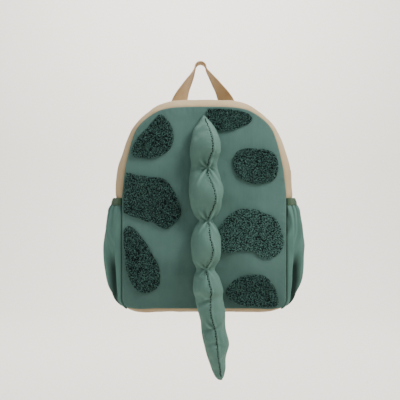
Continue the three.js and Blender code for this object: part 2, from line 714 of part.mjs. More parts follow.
const SIDES = [
  { name: 'right', sign: 1, place: (station) => station },
  { name: 'left', sign: -1, place: mirrored },
];
for (const { name, sign, place } of SIDES) {
  add(bag, `pocket_${name}`, pocket(place), MATERIALS.body);
  add(bag, `pocket_band_${name}`, pocketBand(place), MATERIALS.elastic);
  add(bag, `shoulder_pad_${name}`, shoulderPad(sign), MATERIALS.body);
  const strap = new THREE.Group();
  strap.position.set(sign * STRAP_FOOT_ACROSS, 0, STRAP_FOOT_UP);
  strap.rotation.y = -sign * radians(STRAP_LEAN);
  bag.add(strap);
  add(strap, `strap_webbing_${name}`, strapWebbing(), MATERIALS.webbing);
  add(strap, `pad_tab_${name}`, padTab(), MATERIALS.webbing);
  add(strap, `buckle_${name}`, buckle(), MATERIALS.buckle);
}

export default backpack;
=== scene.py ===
import math

import bpy
import numpy as np
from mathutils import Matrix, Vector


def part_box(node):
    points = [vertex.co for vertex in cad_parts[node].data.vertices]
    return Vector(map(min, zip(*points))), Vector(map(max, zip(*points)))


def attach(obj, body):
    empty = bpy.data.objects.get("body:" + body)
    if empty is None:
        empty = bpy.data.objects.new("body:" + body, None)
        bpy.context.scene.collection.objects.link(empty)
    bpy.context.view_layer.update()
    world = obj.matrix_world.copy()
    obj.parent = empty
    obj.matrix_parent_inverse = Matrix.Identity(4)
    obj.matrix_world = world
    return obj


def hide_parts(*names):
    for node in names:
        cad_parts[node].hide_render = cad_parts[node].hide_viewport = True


# A small child's backpack hanging by its carry loop. Each CAD solid of cloth is
# replaced by a finer mesh of the same form. Unless a name says otherwise,
# lengths are millimetres in the bag's own frame: X to the right, Y to the back,
# Z up from the middle of its bottom seam.

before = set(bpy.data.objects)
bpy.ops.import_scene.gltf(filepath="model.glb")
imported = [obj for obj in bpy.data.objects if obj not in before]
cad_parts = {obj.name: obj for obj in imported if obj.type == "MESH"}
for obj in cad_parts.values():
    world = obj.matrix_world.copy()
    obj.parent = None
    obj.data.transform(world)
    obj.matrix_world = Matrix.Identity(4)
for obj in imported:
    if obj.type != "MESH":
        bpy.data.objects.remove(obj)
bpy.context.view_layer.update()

MM = 0.001
PANEL_LOW, PANEL_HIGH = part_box("front_panel")
BAG_ORIGIN = np.array([(PANEL_LOW.x + PANEL_HIGH.x) / 2, 0, PANEL_LOW.z]) / MM
PANEL_WIDTH = (PANEL_HIGH.x - PANEL_LOW.x) / MM
PANEL_HEIGHT = (PANEL_HIGH.z - PANEL_LOW.z) / MM
HALF_WIDTH = PANEL_WIDTH / 2
MIDDLE_UP = PANEL_HEIGHT / 2

# Sizes as in the CAD source
PANEL_WALL = 2
PANEL_CROWN = 9
CORNER_RADIUS = 13
GUSSET_DEPTH = 90
GUSSET_PUFF = 15
GUSSET_WALL = 2
BACK_PAD = 8
SEAM_GAP = 0.3
ZIP_TAPE = 1
ZIP_RIDGE = 2.4
ZIP_MOUTH = (0.6, 0.74)
ZIP_HEM = 0.04
POCKET_SWELL = 33
POCKET_WALL = 1.5
BAND_WALL = 2.5
PATCH_REACH = 40
PATCH_PILE = 3
PATCH_INSET = 2.5
PATCH_GAP = 0.5
TAIL_LENGTH = 362
TAIL_WIDTH = 44
TAIL_DEPTH = 36
TAIL_TOP_DROP = 13
HANG_DROP = 81
BAG_SHIFT = 5
HOOK_RADIUS = 7.5
LOOP_SPREAD = 43
LOOP_WIDTH = 25
LOOP_THICK = 1.6
PAD_TOP_ACROSS = 34
PAD_TOP_DROP = 26
PAD_WIDTH = 50
PAD_THICK = 8
PAD_ARCH = 33
STRAP_FOOT_ACROSS = 90
STRAP_FOOT_UP = 14
STRAP_LEAN = 14
STRAP_WIDTH = 20
STRAP_THICK = 1.2
STRAP_TAIL = 46
BUCKLE_UP = 60
BUCKLE_BAR = 3
BUCKLE_SLOT = 6
PAD_TAB = 9

BACK_FACE = -LOOP_THICK / 2 - SEAM_GAP
BACK_INNER = BACK_FACE - BACK_PAD
GUSSET_BACK = BACK_INNER - SEAM_GAP
GUSSET_FRONT = GUSSET_BACK - GUSSET_DEPTH
RIM_REAR = GUSSET_FRONT - SEAM_GAP
RIM_FRONT = RIM_REAR - PANEL_WALL

# Where the elastic bindings, the pockets and the gusset's parts end in the
# scene, in shares of the panel's height
BAND_TOP = 0.548
BAND_FOOT = 0.513
POCKET_FOOT = 0.007
GUSSET_JOINT = 0.542

# The cloth that its stuffing swells, and for how many frames it is simulated
CLOTH = {"quality": 6, "mass": 0.2, "tension_stiffness": 25, "compression_stiffness": 15,
         "shear_stiffness": 8, "bending_stiffness": 0.3, "use_pressure": True}
SWELL_FRAMES = 20

# Rings of the tail and points in each, in the simulation and in the final mesh
TAIL_ROUGH = (150, 60)
TAIL_FINE = (430, 170)

# Half of the panel's arched top, the side below its seam, and the flat bottom
ARCH = {
    "up": [1, 0.999, 0.994, 0.983, 0.958, 0.924, 0.884, 0.834, 0.76, 0.685, 0.62],
    "out": [0, 0.24, 0.41, 0.53, 0.645, 0.752, 0.829, 0.878, 0.928, 0.966, 0.985],
    "puff": [1, 1, 0.96, 0.86, 0.76, 0.71, 0.73, 0.8, 0.88, 0.95, 1],
}
SIDE = {
    "up": [0.56, 0.541, 0.506, 0.487, 0.437, 0.387, 0.337, 0.288, 0.238, 0.188, 0.139,
           0.097, 0.065, 0.042, 0.02, 0.007],
    "puff": [0.95, 0.82, 0.74, 0.72, 0.6, 0.48, 0.41, 0.37, 0.33, 0.31, 0.3,
             0.32, 0.36, 0.4, 0.45, 0.47],
    "reach": [0.5, 0.56, 0.66, 0.75, 0.84, 0.91, 0.96, 1, 0.985, 0.95, 0.9,
              0.8, 0.67, 0.55, 0.34, 0],
    "fold": [0, 0, 0, 0, 0, 0.05, 0.2, 0.45, 0.75, 0.95, 1, 1, 0.9, 0.7, 0.4, 0],
}
BASE = {
    "out": [0.87, 0.58, 0.29, 0],
    "puff": [0.57, 0.74, 0.72, 0.72],
}

# Pocket sections, front to back, below the mouth and at it. The belly has a
# sharp fold next to the front seam and a deep crease behind that fold.
SECTION = {
    "depth": [0, 0.04, 0.075, 0.12, 0.17, 0.22, 0.28, 0.363, 0.5, 0.637, 0.78, 0.92, 1],
    "belly": [0, 0.26, 0.1, 0, 0, 0.12, 0.5, 0.8, 1, 0.98, 0.8, 0.4, 0],
    "mouth": [0, 0.34, 0.4, 0.5, 0.66, 0.84, 0.86, 0.88, 1, 0.92, 0.88, 0.42, 0],
}

# How dark the crease is by depth, and where its shade starts and is full, in
# shares of the panel's height
CREASE_SHADE = ([0.055, 0.1, 0.21, 0.25, 0.33, 0.42], [0, 0.3, 0.7, 1, 1, 0])
CREASE_TOP = 0.31
CREASE_FADE = 0.13

# Patches: the middle in shares of the panel, the edge's reach at the twelve
# hours of a clock, how much lighter the fleece is there, and the corners
# between the hours
PATCHES = [
    (-0.31, 0.839, [0.62, 0.84, 0.75, 0.7, 0.68, 0.63, 0.66, 0.75, 0.85, 0.56, 0.43, 0.42],
     -0.3, {0.6: 0.89, 7.8: 0.93}),
    (0.146, 0.938, [0.37, 0.36, 0.53, 0.82, 0.51, 0.42, 0.4, 0.49, 0.55, 0.72, 0.78, 0.46],
     -0.3, {}),
    (0.317, 0.705, [0.59, 0.65, 0.75, 0.75, 0.77, 0.66, 0.61, 0.63, 0.74, 0.79, 0.83, 0.69],
     -0.2, {}),
    (-0.317, 0.536, [0.79, 0.83, 0.81, 0.89, 1.11, 1.1, 0.74, 0.75, 0.96, 1.05, 1.2, 0.99],
     -0.35, {8.3: 1.12, 10.4: 1.36}),
    (0.293, 0.382, [0.77, 0.74, 0.9, 1, 1.19, 1.07, 0.66, 0.74, 1.24, 1.16, 1, 0.87],
     0.95, {}),
    (-0.372, 0.228, [0.81, 0.5, 0.43, 0.5, 0.67, 0.98, 1.04, 0.79, 0.63, 0.6, 0.71, 1.3],
     -0.45, {11.2: 1.36}),
    (0.305, 0.079, [0.64, 0.67, 0.68, 0.76, 0.94, 0.7, 0.6, 0.53, 0.72, 0.96, 0.84, 0.69],
     -0.45, {4.2: 0.98}),
]

TAIL = {
    "down": [0, 0.015, 0.034, 0.063, 0.1, 0.138, 0.175, 0.205, 0.235, 0.279, 0.317, 0.35,
             0.376, 0.397, 0.417, 0.454, 0.499, 0.54, 0.577, 0.607, 0.652, 0.685, 0.741,
             0.8, 0.857, 0.912, 0.957, 0.987, 1],
    "left": [-0.06, -0.13, -0.22, -0.34, -0.41, -0.43, -0.42, -0.42, -0.45, -0.47, -0.45,
             -0.4, -0.31, -0.16, -0.26, -0.39, -0.41, -0.37, -0.25, -0.32, -0.35, -0.28,
             -0.19, -0.09, -0.02, 0.11, 0.24, 0.35, 0.44],
    "seam": [-0.03, 0.02, 0.08, 0.165, 0.235, 0.24, 0.14, 0.095, 0.14, 0.28, 0.325, 0.26,
             0.165, 0.11, 0.14, 0.17, 0.25, 0.19, 0.065, 0.11, 0.2, 0.19, 0.2, 0.325,
             0.385, 0.435, 0.49, 0.505, 0.5],
    "right": [0, 0.12, 0.25, 0.39, 0.485, 0.5, 0.4, 0.415, 0.49, 0.57, 0.56, 0.5, 0.39,
              0.25, 0.37, 0.49, 0.53, 0.465, 0.31, 0.445, 0.57, 0.57, 0.65, 0.67, 0.75,
              0.675, 0.67, 0.62, 0.54],
    "thick": [0.1, 0.3, 0.5, 0.75, 0.95, 1, 0.82, 0.62, 0.8, 1, 1, 0.85, 0.7, 0.56, 0.7,
              0.9, 1, 0.85, 0.55, 0.72, 0.9, 0.78, 0.85, 0.72, 0.74, 0.6, 0.42, 0.28, 0.14],
}
TAIL_SECTION = {
    "out": [0, 0.34, 0.68, 0.92, 1, 0.9, 0.66, 0.33, 0],
    "deep": [1, 0.95, 0.82, 0.6, 0.38, 0.13, 0, 0, 0],
}

LOOP = {
    "down": [1.28, 1.14, 1.02, 0.88, 0.73, 0.6, 0.47, 0.34, 0.22],
    "across": [1, 1, 0.99, 0.93, 0.84, 0.73, 0.6, 0.45, 0.31],
    "twist": [0, 0, 0, 8, 22, 42, 60, 71, 82],
}

PAD = {
    "up": [0, 0.04, 0.12, 0.25, 0.42, 0.58, 0.73, 0.85, 0.93, 0.97, 1],
    "across": [1, 0.956, 0.88, 0.78, 0.63, 0.47, 0.3, 0.15, 0.05, 0.01, 0],
    "away": [0.27, 0.27, 0.44, 0.76, 0.97, 1, 0.82, 0.48, 0.16, 0, 0],
    "width": [0.7, 0.8, 0.88, 0.95, 1, 1, 1, 1, 0.98, 0.96, 0.94],
}

# Where the tail is stitched down and tied off: the knot, how far it draws the
# stuffing in, and the folds that run into it, each with its direction in
# degrees from the right, its length and its depth. A depth below 0 is a ridge.
PINCHES = [
    {"x": 4.6, "z": 192.5, "pull": 2.6, "spread": 8, "folds": [
        (146, 17, -1.3), (50, 15, -1.1), (229, 30, -1.3), (316, 30, -1.3), (184, 12, -0.7),
        (124, 15, 1.2), (78, 13, 1), (165, 14, 0.8), (207, 20, 1), (252, 15, 0.9),
        (296, 20, 1), (338, 18, 0.8)]},
    {"x": 5, "z": 121.5, "pull": 2.5, "spread": 8, "folds": [
        (140, 21, -1.3), (46, 19, -1.2), (222, 22, -1.3), (316, 20, -1.2), (0, 9, -0.5),
        (118, 17, 1.1), (72, 14, 1.1), (162, 15, 0.8), (200, 14, 0.8), (246, 13, 0.8),
        (294, 14, 0.8), (338, 13, 0.6)]},
    {"x": 2.6, "z": 56.5, "pull": 2.4, "spread": 8, "folds": [
        (148, 18, -1.1), (52, 16, -1), (212, 15, -0.9), (322, 16, -0.9),
        (126, 15, 1), (76, 15, 1), (176, 16, 0.9), (20, 14, 0.7), (246, 12, 0.7), (292, 13, 0.7)]},
    {"x": 9, "z": 16.5, "pull": 1.6, "spread": 8, "folds": [(198, 20, 1.1), (163, 15, -0.7)]},
    {"x": 13.5, "z": -22.5, "pull": 1.6, "spread": 8, "folds": [
        (137, 20, 1.3), (160, 13, -0.9), (194, 16, 0.8), (32, 13, 0.6)]},
    {"x": 15.5, "z": -44, "pull": 1, "spread": 9, "folds": [(188, 14, 0.6), (345, 12, 0.5)]},
]


# Curves and noise
def smooth(xs, ys, at, level=False):
    """A cubic curve through the points, read at other places; level keeps it
    from passing the highest and lowest points."""
    xs = np.asarray(xs, float)
    ys = np.asarray(ys, float)
    step = np.diff(xs)
    slope = np.diff(ys) / step
    tangent = np.gradient(ys, xs)
    if level:
        same = slope[:-1] * slope[1:] > 0
        total = np.where(same, slope[:-1] + slope[1:], 1)
        tangent[1:-1] = np.where(same, 2 * slope[:-1] * slope[1:] / total, 0)
    at = np.asarray(at, float)
    k = np.clip(np.searchsorted(xs, at, side="right") - 1, 0, len(step) - 1)
    t = np.clip((at - xs[k]) / step[k], 0, 1)
    rest = 1 - t
    return (
        rest * rest * (1 + 2 * t) * ys[k]
        + t * t * (3 - 2 * t) * ys[k + 1]
        + step[k] * t * rest * (rest * tangent[k] - t * tangent[k + 1])
    )


def along(points):
    """Distance along a line of points from its start."""
    return np.concatenate([[0], np.cumsum(np.linalg.norm(np.diff(points, axis=0), axis=1))])


def xyz(x, y, z):
    return np.stack(np.broadcast_arrays(x, y, z), axis=-1)


def unit(vectors):
    return vectors / np.linalg.norm(vectors, axis=-1, keepdims=True)


def read_line(line, s, at):
    """Points at some distances along a line."""
    return np.stack([np.interp(at, s, line[:, k]) for k in range(3)], axis=-1)


def smooth_line(line, s, at):
    """The same, on a cubic curve through the line's points."""
    return np.stack([smooth(s, line[:, k], at) for k in range(line.shape[1])], axis=-1)


def ripple(run, pitch, phase=0):
    return np.sin(2 * math.pi * run / pitch + phase)


def waves(seed, wavelength, *where):
    """A smooth irregular field, mostly between -1 and 1, with that wavelength."""
    dice = np.random.default_rng(seed)
    total = 0
    for _ in range(7):
        direction = dice.normal(size=len(where))
        direction /= np.linalg.norm(direction)
        length = wavelength * dice.uniform(0.7, 1.5)
        phase = dice.uniform(0, 2 * math.pi)
        run = sum(d * w for d, w in zip(direction, where))
        total = total + ripple(run, length, phase)
    return total / 3


def bump(distance, reach):
    return np.exp(-((distance / reach) ** 2))


def lerp(a, b, share):
    return a + (b - a) * share


# Meshes from grids of points
def grid_faces(rows, columns, wrap):
    i = np.arange(rows - 1)[:, None]
    k = np.arange(columns if wrap else columns - 1)[None, :]
    ahead = (k + 1) % columns
    corners = [i * columns + k, i * columns + ahead, (i + 1) * columns + ahead, (i + 1) * columns + k]
    return np.stack(corners, axis=-1).reshape(-1, 4).tolist()


def ladder(start, count):
    """Quads that fill an end ring whose points face each other in pairs."""
    return [
        [start + k, start + k + 1, start + count - 2 - k, start + count - 1 - k]
        for k in range(count // 2 - 1)
    ]


def set_wear_and_shading(mesh, level):
    mesh.attributes.new("wear_and_shading", "FLOAT", "POINT").data.foreach_set("value", np.ravel(level))


def build_mesh(name, points, faces, wear_and_shading=None, uvs=None):
    """A smooth-shaded mesh in the frame's own metres, its faces outward."""
    points = np.asarray(points, float).reshape(-1, 3)
    corners = points[np.array([(*face, face[0])[:4] for face in faces])]
    a, b, c, d = (corners[:, k] for k in range(4))
    if np.sum(a * np.cross(b, c)) + np.sum(a * np.cross(c, d)) < 0:
        faces = [face[::-1] for face in faces]
    mesh = bpy.data.meshes.new(name)
    mesh.from_pydata(((points + BAG_ORIGIN) * MM).tolist(), [], faces)
    if uvs is not None:
        layer = mesh.uv_layers.new(name="run")
        index = np.empty(len(mesh.loops), int)
        mesh.loops.foreach_get("vertex_index", index)
        layer.data.foreach_set("uv", (np.asarray(uvs).reshape(-1, 2)[index] * MM).ravel())
    set_wear_and_shading(mesh, np.zeros(len(points)) if wear_and_shading is None else wear_and_shading)
    mesh.shade_smooth()
    mesh.update()
    return mesh


def tube_mesh(name, points, wear_and_shading=None):
    """A closed skin through rings of points, ends filled in pairs."""
    rows, columns, _ = points.shape
    faces = grid_faces(rows, columns, True)
    faces += [face[::-1] for face in ladder(0, columns)]
    faces += ladder((rows - 1) * columns, columns)
    across, down = (
        np.concatenate([[0], np.cumsum(np.linalg.norm(np.diff(points, axis=k), axis=2).mean(axis=1 - k))])
        for k in (1, 0))
    uvs = np.stack(np.broadcast_arrays(across[None, :], down[:, None]), axis=-1)
    return build_mesh(name, points, faces, wear_and_shading, uvs)


def disc_mesh(name, rings, wear_and_shading=None):
    """A closed form through rings of points whose first and last are single points."""
    count = rings[1].shape[0]
    points = [rings[0][:1]] + list(rings[1:-1]) + [rings[-1][:1]]
    faces = [[0, 1 + (k + 1) % count, 1 + k] for k in range(count)]
    middle = np.asarray(grid_faces(len(rings) - 2, count, True)) + 1
    faces += middle.tolist()
    last = 1 + (len(rings) - 2) * count
    faces += [[last, last - count + k, last - count + (k + 1) % count] for k in range(count)]
    flat = np.concatenate(points)
    if wear_and_shading is not None:
        wear_and_shading = np.concatenate([wear_and_shading[0][:1]] + list(wear_and_shading[1:-1]) + [wear_and_shading[-1][:1]])
    return build_mesh(name, flat, faces, wear_and_shading, flat[:, [0, 2]])


def copies_mesh(name, template, faces, places, turns, shade=0, painted_tip_light=0):
    """Many copies of one small form in one mesh, each with a tone of its own; the last argument paints light
    along each copy's third axis, a painted highlight towards its end and painted shade towards the other."""
    count = len(places)
    turned = np.einsum("nij,pj->npi", turns, template) + places[:, None, :]
    steps = (np.arange(count) * len(template))[:, None, None]
    every = (np.asarray(faces)[None] + steps).reshape(-1, len(faces[0]))
    mesh = bpy.data.meshes.new(name)
    mesh.from_pydata(((turned.reshape(-1, 3) + BAG_ORIGIN) * MM).tolist(), [], every.tolist())
    own = np.random.default_rng(count).uniform(-1, 1, count) + shade
    if painted_tip_light:
        own = 0.6 * own
    # Painted light along each copy: lighter towards the end of its third axis, darker towards the other.
    high = template[:, 2] / np.abs(template[:, 2]).max()
    set_wear_and_shading(mesh, own[:, None] + painted_tip_light * high[None, :])
    mesh.shade_smooth()
    return mesh


def frames(directions, ups):
    """Rotations whose first axis is the direction and third nearest to up."""
    first = unit(directions)
    second = unit(np.cross(ups, first))
    return np.stack([first, second, np.cross(first, second)], axis=-1)


def add_object(name, data):
    obj = bpy.data.objects.new(name, data)
    bpy.context.scene.collection.objects.link(obj)
    return obj


def piece(mesh, material, slot, *nodes):
    """A visible piece named as its mesh, and the CAD nodes that it stands for."""
    obj = add_object(mesh.name, mesh)
    mesh.materials.append(MATERIALS[material])
    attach(obj, "root")
    if nodes:
        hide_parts(*nodes)
    return obj


def evened(field, times):
    """A field on a grid of rings, averaged with its neighbours a few times."""
    for _ in range(times):
        ahead = np.concatenate([field[1:], field[-1:]])
        behind = np.concatenate([field[:1], field[:-1]])
        beside = np.roll(field, 1, axis=1) + np.roll(field, -1, axis=1)
        field = 0.4 * field + 0.15 * (ahead + behind + beside)
    return field


def inflate(points, pins, pressure, slack, cap):
    """Swells a closed grid of rings as cloth; pinned points stay where they are."""
    obj = add_object("swelling", tube_mesh("swelling", points))
    scene = bpy.context.scene
    group = obj.vertex_groups.new(name="pins")
    weights = np.round(np.ravel(pins), 1)
    for weight in np.unique(weights[weights > 0]):
        group.add(np.flatnonzero(weights == weight).tolist(), float(weight), "REPLACE")
    cloth = obj.modifiers.new("Cloth", "CLOTH")
    for key, value in CLOTH.items():
        setattr(cloth.settings, key, value)
    cloth.settings.uniform_pressure_force = pressure
    cloth.settings.effector_weights.gravity = 0
    cloth.settings.vertex_group_mass = "pins"
    cloth.settings.shrink_min = slack
    cloth.point_cache.frame_start = 1
    cloth.point_cache.frame_end = SWELL_FRAMES
    for number in range(1, SWELL_FRAMES + 1):
        scene.frame_set(number)
    shown = obj.evaluated_get(bpy.context.evaluated_depsgraph_get()).to_mesh()
    found = np.empty(points.size)
    shown.vertices.foreach_get("co", found)
    bpy.data.objects.remove(obj)
    scene.frame_set(1)
    moved = evened(found.reshape(points.shape) / MM - BAG_ORIGIN - points, 3)
    distance = np.linalg.norm(moved, axis=-1, keepdims=True)
    return points + moved * np.minimum(1, cap / np.maximum(distance, 1e-6))


def finer(points, rows, columns):
    """A grid of rings read more densely; its columns go round."""
    have_rows, have_columns, _ = points.shape
    ring = np.concatenate([points[:, -2:], points, points[:, :3]], axis=1)
    at = np.linspace(0, have_columns, columns, endpoint=False) + 2
    wide = np.stack([smooth_line(row, np.arange(ring.shape[1]), at) for row in ring])
    down = np.linspace(0, have_rows - 1, rows)
    return np.stack([smooth_line(wide[:, k], np.arange(have_rows), down) for k in range(columns)], axis=1)


def skin_normals(points):
    """Normals of a grid of rings, pointing out of it."""
    down = np.gradient(points, axis=0)
    across = np.roll(points, -1, axis=1) - np.roll(points, 1, axis=1)
    normal = np.cross(down, across)
    normal /= np.maximum(np.linalg.norm(normal, axis=-1, keepdims=True), 1e-9)
    out = np.sum(normal * (points - points.mean(axis=1, keepdims=True)))
    return normal * np.sign(out)


# The seam line round the bag
def right_half():
    """Stations from the top middle down the right side to the bottom middle."""
    side_up = np.array(SIDE["up"]) * PANEL_HEIGHT
    drop = np.maximum(0, 1 - side_up / CORNER_RADIUS)
    side_x = HALF_WIDTH - CORNER_RADIUS * (1 - np.sqrt(1 - drop * drop))
    base_x = np.minimum(np.array(BASE["out"]) * HALF_WIDTH, HALF_WIDTH - CORNER_RADIUS)
    above, below = [0] * len(ARCH["up"]), [0] * len(BASE["out"])
    return {
        "x": [*np.array(ARCH["out"]) * HALF_WIDTH, *side_x, *base_x],
        "z": [*np.array(ARCH["up"]) * PANEL_HEIGHT, *side_up, *below],
        "puff": [*ARCH["puff"], *SIDE["puff"], *BASE["puff"]],
        "reach": [*above, *SIDE["reach"], *below],
        "fold": [*above, *SIDE["fold"], *below],
    }


def seam_run(spacing=2.0):
    """The whole seam line at even steps, clockwise from the top middle."""
    half = {key: np.array(column, float) for key, column in right_half().items()}
    sign = {key: -1 if key == "x" else 1 for key in half}
    mirrored = {
        key: np.concatenate([sign[key] * column[2:0:-1], column, sign[key] * column[-2:-4:-1]])
        for key, column in half.items()
    }
    s = along(np.stack([mirrored["x"], mirrored["z"]], axis=1))
    start, end = s[2], s[-3]
    count = int((end - start) / spacing)
    fine = np.linspace(start, end, count + 1)
    right = {
        key: smooth(s, column, fine, level=key not in ("x", "z"))
        for key, column in mirrored.items()
    }
    right["up"] = right["z"] / PANEL_HEIGHT
    run = {
        key: np.concatenate([column, sign.get(key, 1) * column[-2:0:-1]])
        for key, column in right.items()
    }
    dx = np.roll(run["x"], -1) - np.roll(run["x"], 1)
    dz = np.roll(run["z"], -1) - np.roll(run["z"], 1)
    length = np.hypot(dx, dz)
    run["nx"], run["nz"] = -dz / length, dx / length
    run["s"] = np.arange(len(run["x"])) * (end - start) / count
    run["half"] = count
    return run


run = seam_run()
SEAM_LINE = np.stack([run["x"], run["z"]], axis=1)
loop_angle = np.arctan2(run["x"], run["z"] - MIDDLE_UP)
loop_reach = np.hypot(run["x"], run["z"] - MIDDLE_UP)
angle_order = np.argsort(loop_angle)


def rim_share(x, z):
    """How far out a point of the panel lies, from 0 in the middle to 1 at the seam."""
    angle = np.arctan2(x, z - MIDDLE_UP)
    reach = np.interp(angle, loop_angle[angle_order], loop_reach[angle_order], period=2 * math.pi)
    return np.hypot(x, z - MIDDLE_UP) / reach


def panel_front(x, z):
    share = np.minimum(1, rim_share(x, z))
    return RIM_FRONT - PANEL_CROWN * (1 - share * share)


def panel_dents(x, z):
    """How far the cloth of the front stands back from its plain crown."""
    share = np.minimum(1, rim_share(x, z))
    free = 1 - share ** 6
    dent = 0.55 * (1 + waves(11, 95, x, z)) * free + 0.25 * (1 + waves(12, 34, x, z)) * free
    dent = dent - 4.5 * bump(z - 52, 42) * bump(x, 110) * free
    for knot, deep in zip(PINCHES[:3], (3, 2.2, 1.8)):
        away = np.hypot(x - knot["x"], (z - knot["z"]) * 1.5)
        dent = dent + deep * bump(away, 34) * free
        turn = np.arctan2(z - knot["z"], x - knot["x"])
        pull = 0.45 * np.cos(7 * turn + knot["x"]) * bump(away - 26, 14)
        dent = dent + (0.45 + pull) * bump(away - 26, 16) * free
    return dent


def panel_y(x, z):
    return panel_front(x, z) + panel_dents(x, z)


def panel_ring(share):
    """X and Z of a ring round the panel, at a share of the way out to its seam."""
    return lerp(np.array([0, MIDDLE_UP]), SEAM_LINE, share).T


def stations(first, last):
    """Part of the seam line; numbers beyond the ends go round."""
    picked = np.arange(first, last + 1) % len(run["x"])
    part = {key: column[picked] for key, column in run.items() if key not in ("half", "s")}
    part["s"] = np.arange(first, last + 1) * (run["s"][1] - run["s"][0])
    return part


def gusset_out(part, depth):
    profile = np.minimum(1, 1.08 * np.sin(math.pi * np.clip(depth, 0, 1)) ** 0.8)
    return GUSSET_PUFF * part["puff"][:, None] * profile[None, :]


def at_stations(part, depth, out):
    x = part["x"][:, None] + part["nx"][:, None] * out
    z = part["z"][:, None] + part["nz"][:, None] * out
    return xyz(x, lerp(GUSSET_FRONT, GUSSET_BACK, depth)[None, :], z)


def station_line(part, depth, out):
    """A line round the bag at one depth, and its normals."""
    line = at_stations(part, np.array([depth]), out[:, None])[:, 0]
    return line, xyz(part["nx"], 0, part["nz"])


def wall_rings(part, depth, outer, inner):
    """Rings of a wall: its outer face front to back, then its inner face."""
    return np.concatenate([
        at_stations(part, depth, outer), at_stations(part, depth, inner)[:, ::-1]], axis=1)


def wall_piece(name, rings, level, material, slot, node_name):
    """A wall as a piece; its wear and painted shading are on its outer face alone."""
    level = np.broadcast_to(level, (len(rings), np.shape(level)[-1]))
    wear_and_shading = np.concatenate([level, np.zeros_like(level)], axis=1)
    piece(tube_mesh(name, rings, wear_and_shading), material, slot, node_name)


def find_station(up):
    """The number of the station on the right side at that share of the height."""
    return int(np.argmin(np.abs(run["z"][:run["half"]] / PANEL_HEIGHT - up)))


# Materials
def node(tree, kind, settings=None, **sockets):
    made = tree.nodes.new(kind)
    for key, value in (settings or {}).items():
        setattr(made, key, value)
    for key, value in sockets.items():
        socket = made.inputs[key.replace("_", " ")]
        if isinstance(value, bpy.types.NodeSocket):
            tree.links.new(value, socket)
        else:
            socket.default_value = value
    return made


def linked(tree, output, made, socket):
    tree.links.new(output, made.inputs[socket])


def new_material(name):
    material = bpy.data.materials.new(name)
    material.use_nodes = True
    tree = material.node_tree
    tree.nodes.clear()
    output = tree.nodes.new("ShaderNodeOutputMaterial")
    shader = tree.nodes.new("ShaderNodeBsdfPrincipled")
    tree.links.new(shader.outputs["BSDF"], output.inputs["Surface"])
    return material, tree, shader


def srgb(red, green, blue):
    """A linear colour from the usual 0 to 255 numbers."""
    def linear(value):
        share = value / 255
        return share / 12.92 if share <= 0.04045 else ((share + 0.055) / 1.055) ** 2.4
    return (linear(red), linear(green), linear(blue), 1)


def shaded(colour, share, lift=0):
    return tuple(min(1, share * c + lift) for c in colour[:3]) + (1,)


def mixed(tree, factor, first, second, blend="MIX"):
    made = tree.nodes.new("ShaderNodeMix")
    made.data_type = "RGBA"
    made.blend_type = blend
    for socket, value in ((0, factor), (6, first), (7, second)):
        if isinstance(value, bpy.types.NodeSocket):
            tree.links.new(value, made.inputs[socket])
        else:
            made.inputs[socket].default_value = value
    return made.outputs[2]


def layered(tree, tone, *layers):
    """A tone with others laid over it, each by its own share."""
    for share, colour in layers:
        tone = mixed(tree, share, tone, colour)
    return tone


def noise(tree, where, scale, detail, rough=0.5):
    made = node(tree, "ShaderNodeTexNoise", Vector=where, Scale=scale, Detail=detail, Roughness=rough)
    return made.outputs["Fac"]


def ranged(tree, value, low=0, high=1, start=0, end=1):
    """The value's span from low to high, stretched to run from start to end."""
    made = node(tree, "ShaderNodeMapRange", Value=value, From_Min=low, From_Max=high, To_Min=start,
                To_Max=end)
    return made.outputs["Result"]


def wave_height(tree, vector, axis, pitch):
    """Ribs across an axis, that many millimetres apart."""
    made = node(tree, "ShaderNodeTexWave", {"bands_direction": axis}, Vector=vector,
                Scale=2 * math.pi / (20 * pitch * MM))
    return made.outputs["Fac"]


def places_of(tree):
    return node(tree, "ShaderNodeTexCoord").outputs["Object"]


def threads_of(tree):
    return node(tree, "ShaderNodeUVMap", {"uv_map": "run"}).outputs["UV"]


def wear_and_shading_of(tree):
    return node(tree, "ShaderNodeAttribute", {"attribute_name": "wear_and_shading"}).outputs["Fac"]


def surface(tree, shader, tone, uneven, rough, bumps, **sockets):
    """Joins a tone, a roughness that follows an uneven field, and bumps, each
    with its height, distance and strength, to the shader."""
    linked(tree, tone, shader, "Base Color")
    linked(tree, ranged(tree, uneven, start=rough[0], end=rough[1]), shader, "Roughness")
    normal = None
    for height, distance, strength in bumps:
        made = node(tree, "ShaderNodeBump", Height=height, Distance=distance, Strength=strength)
        if normal is not None:
            linked(tree, normal, made, "Normal")
        normal = made.outputs["Normal"]
    linked(tree, normal, shader, "Normal")
    for key, value in sockets.items():
        shader.inputs[key.replace("_", " ")].default_value = value


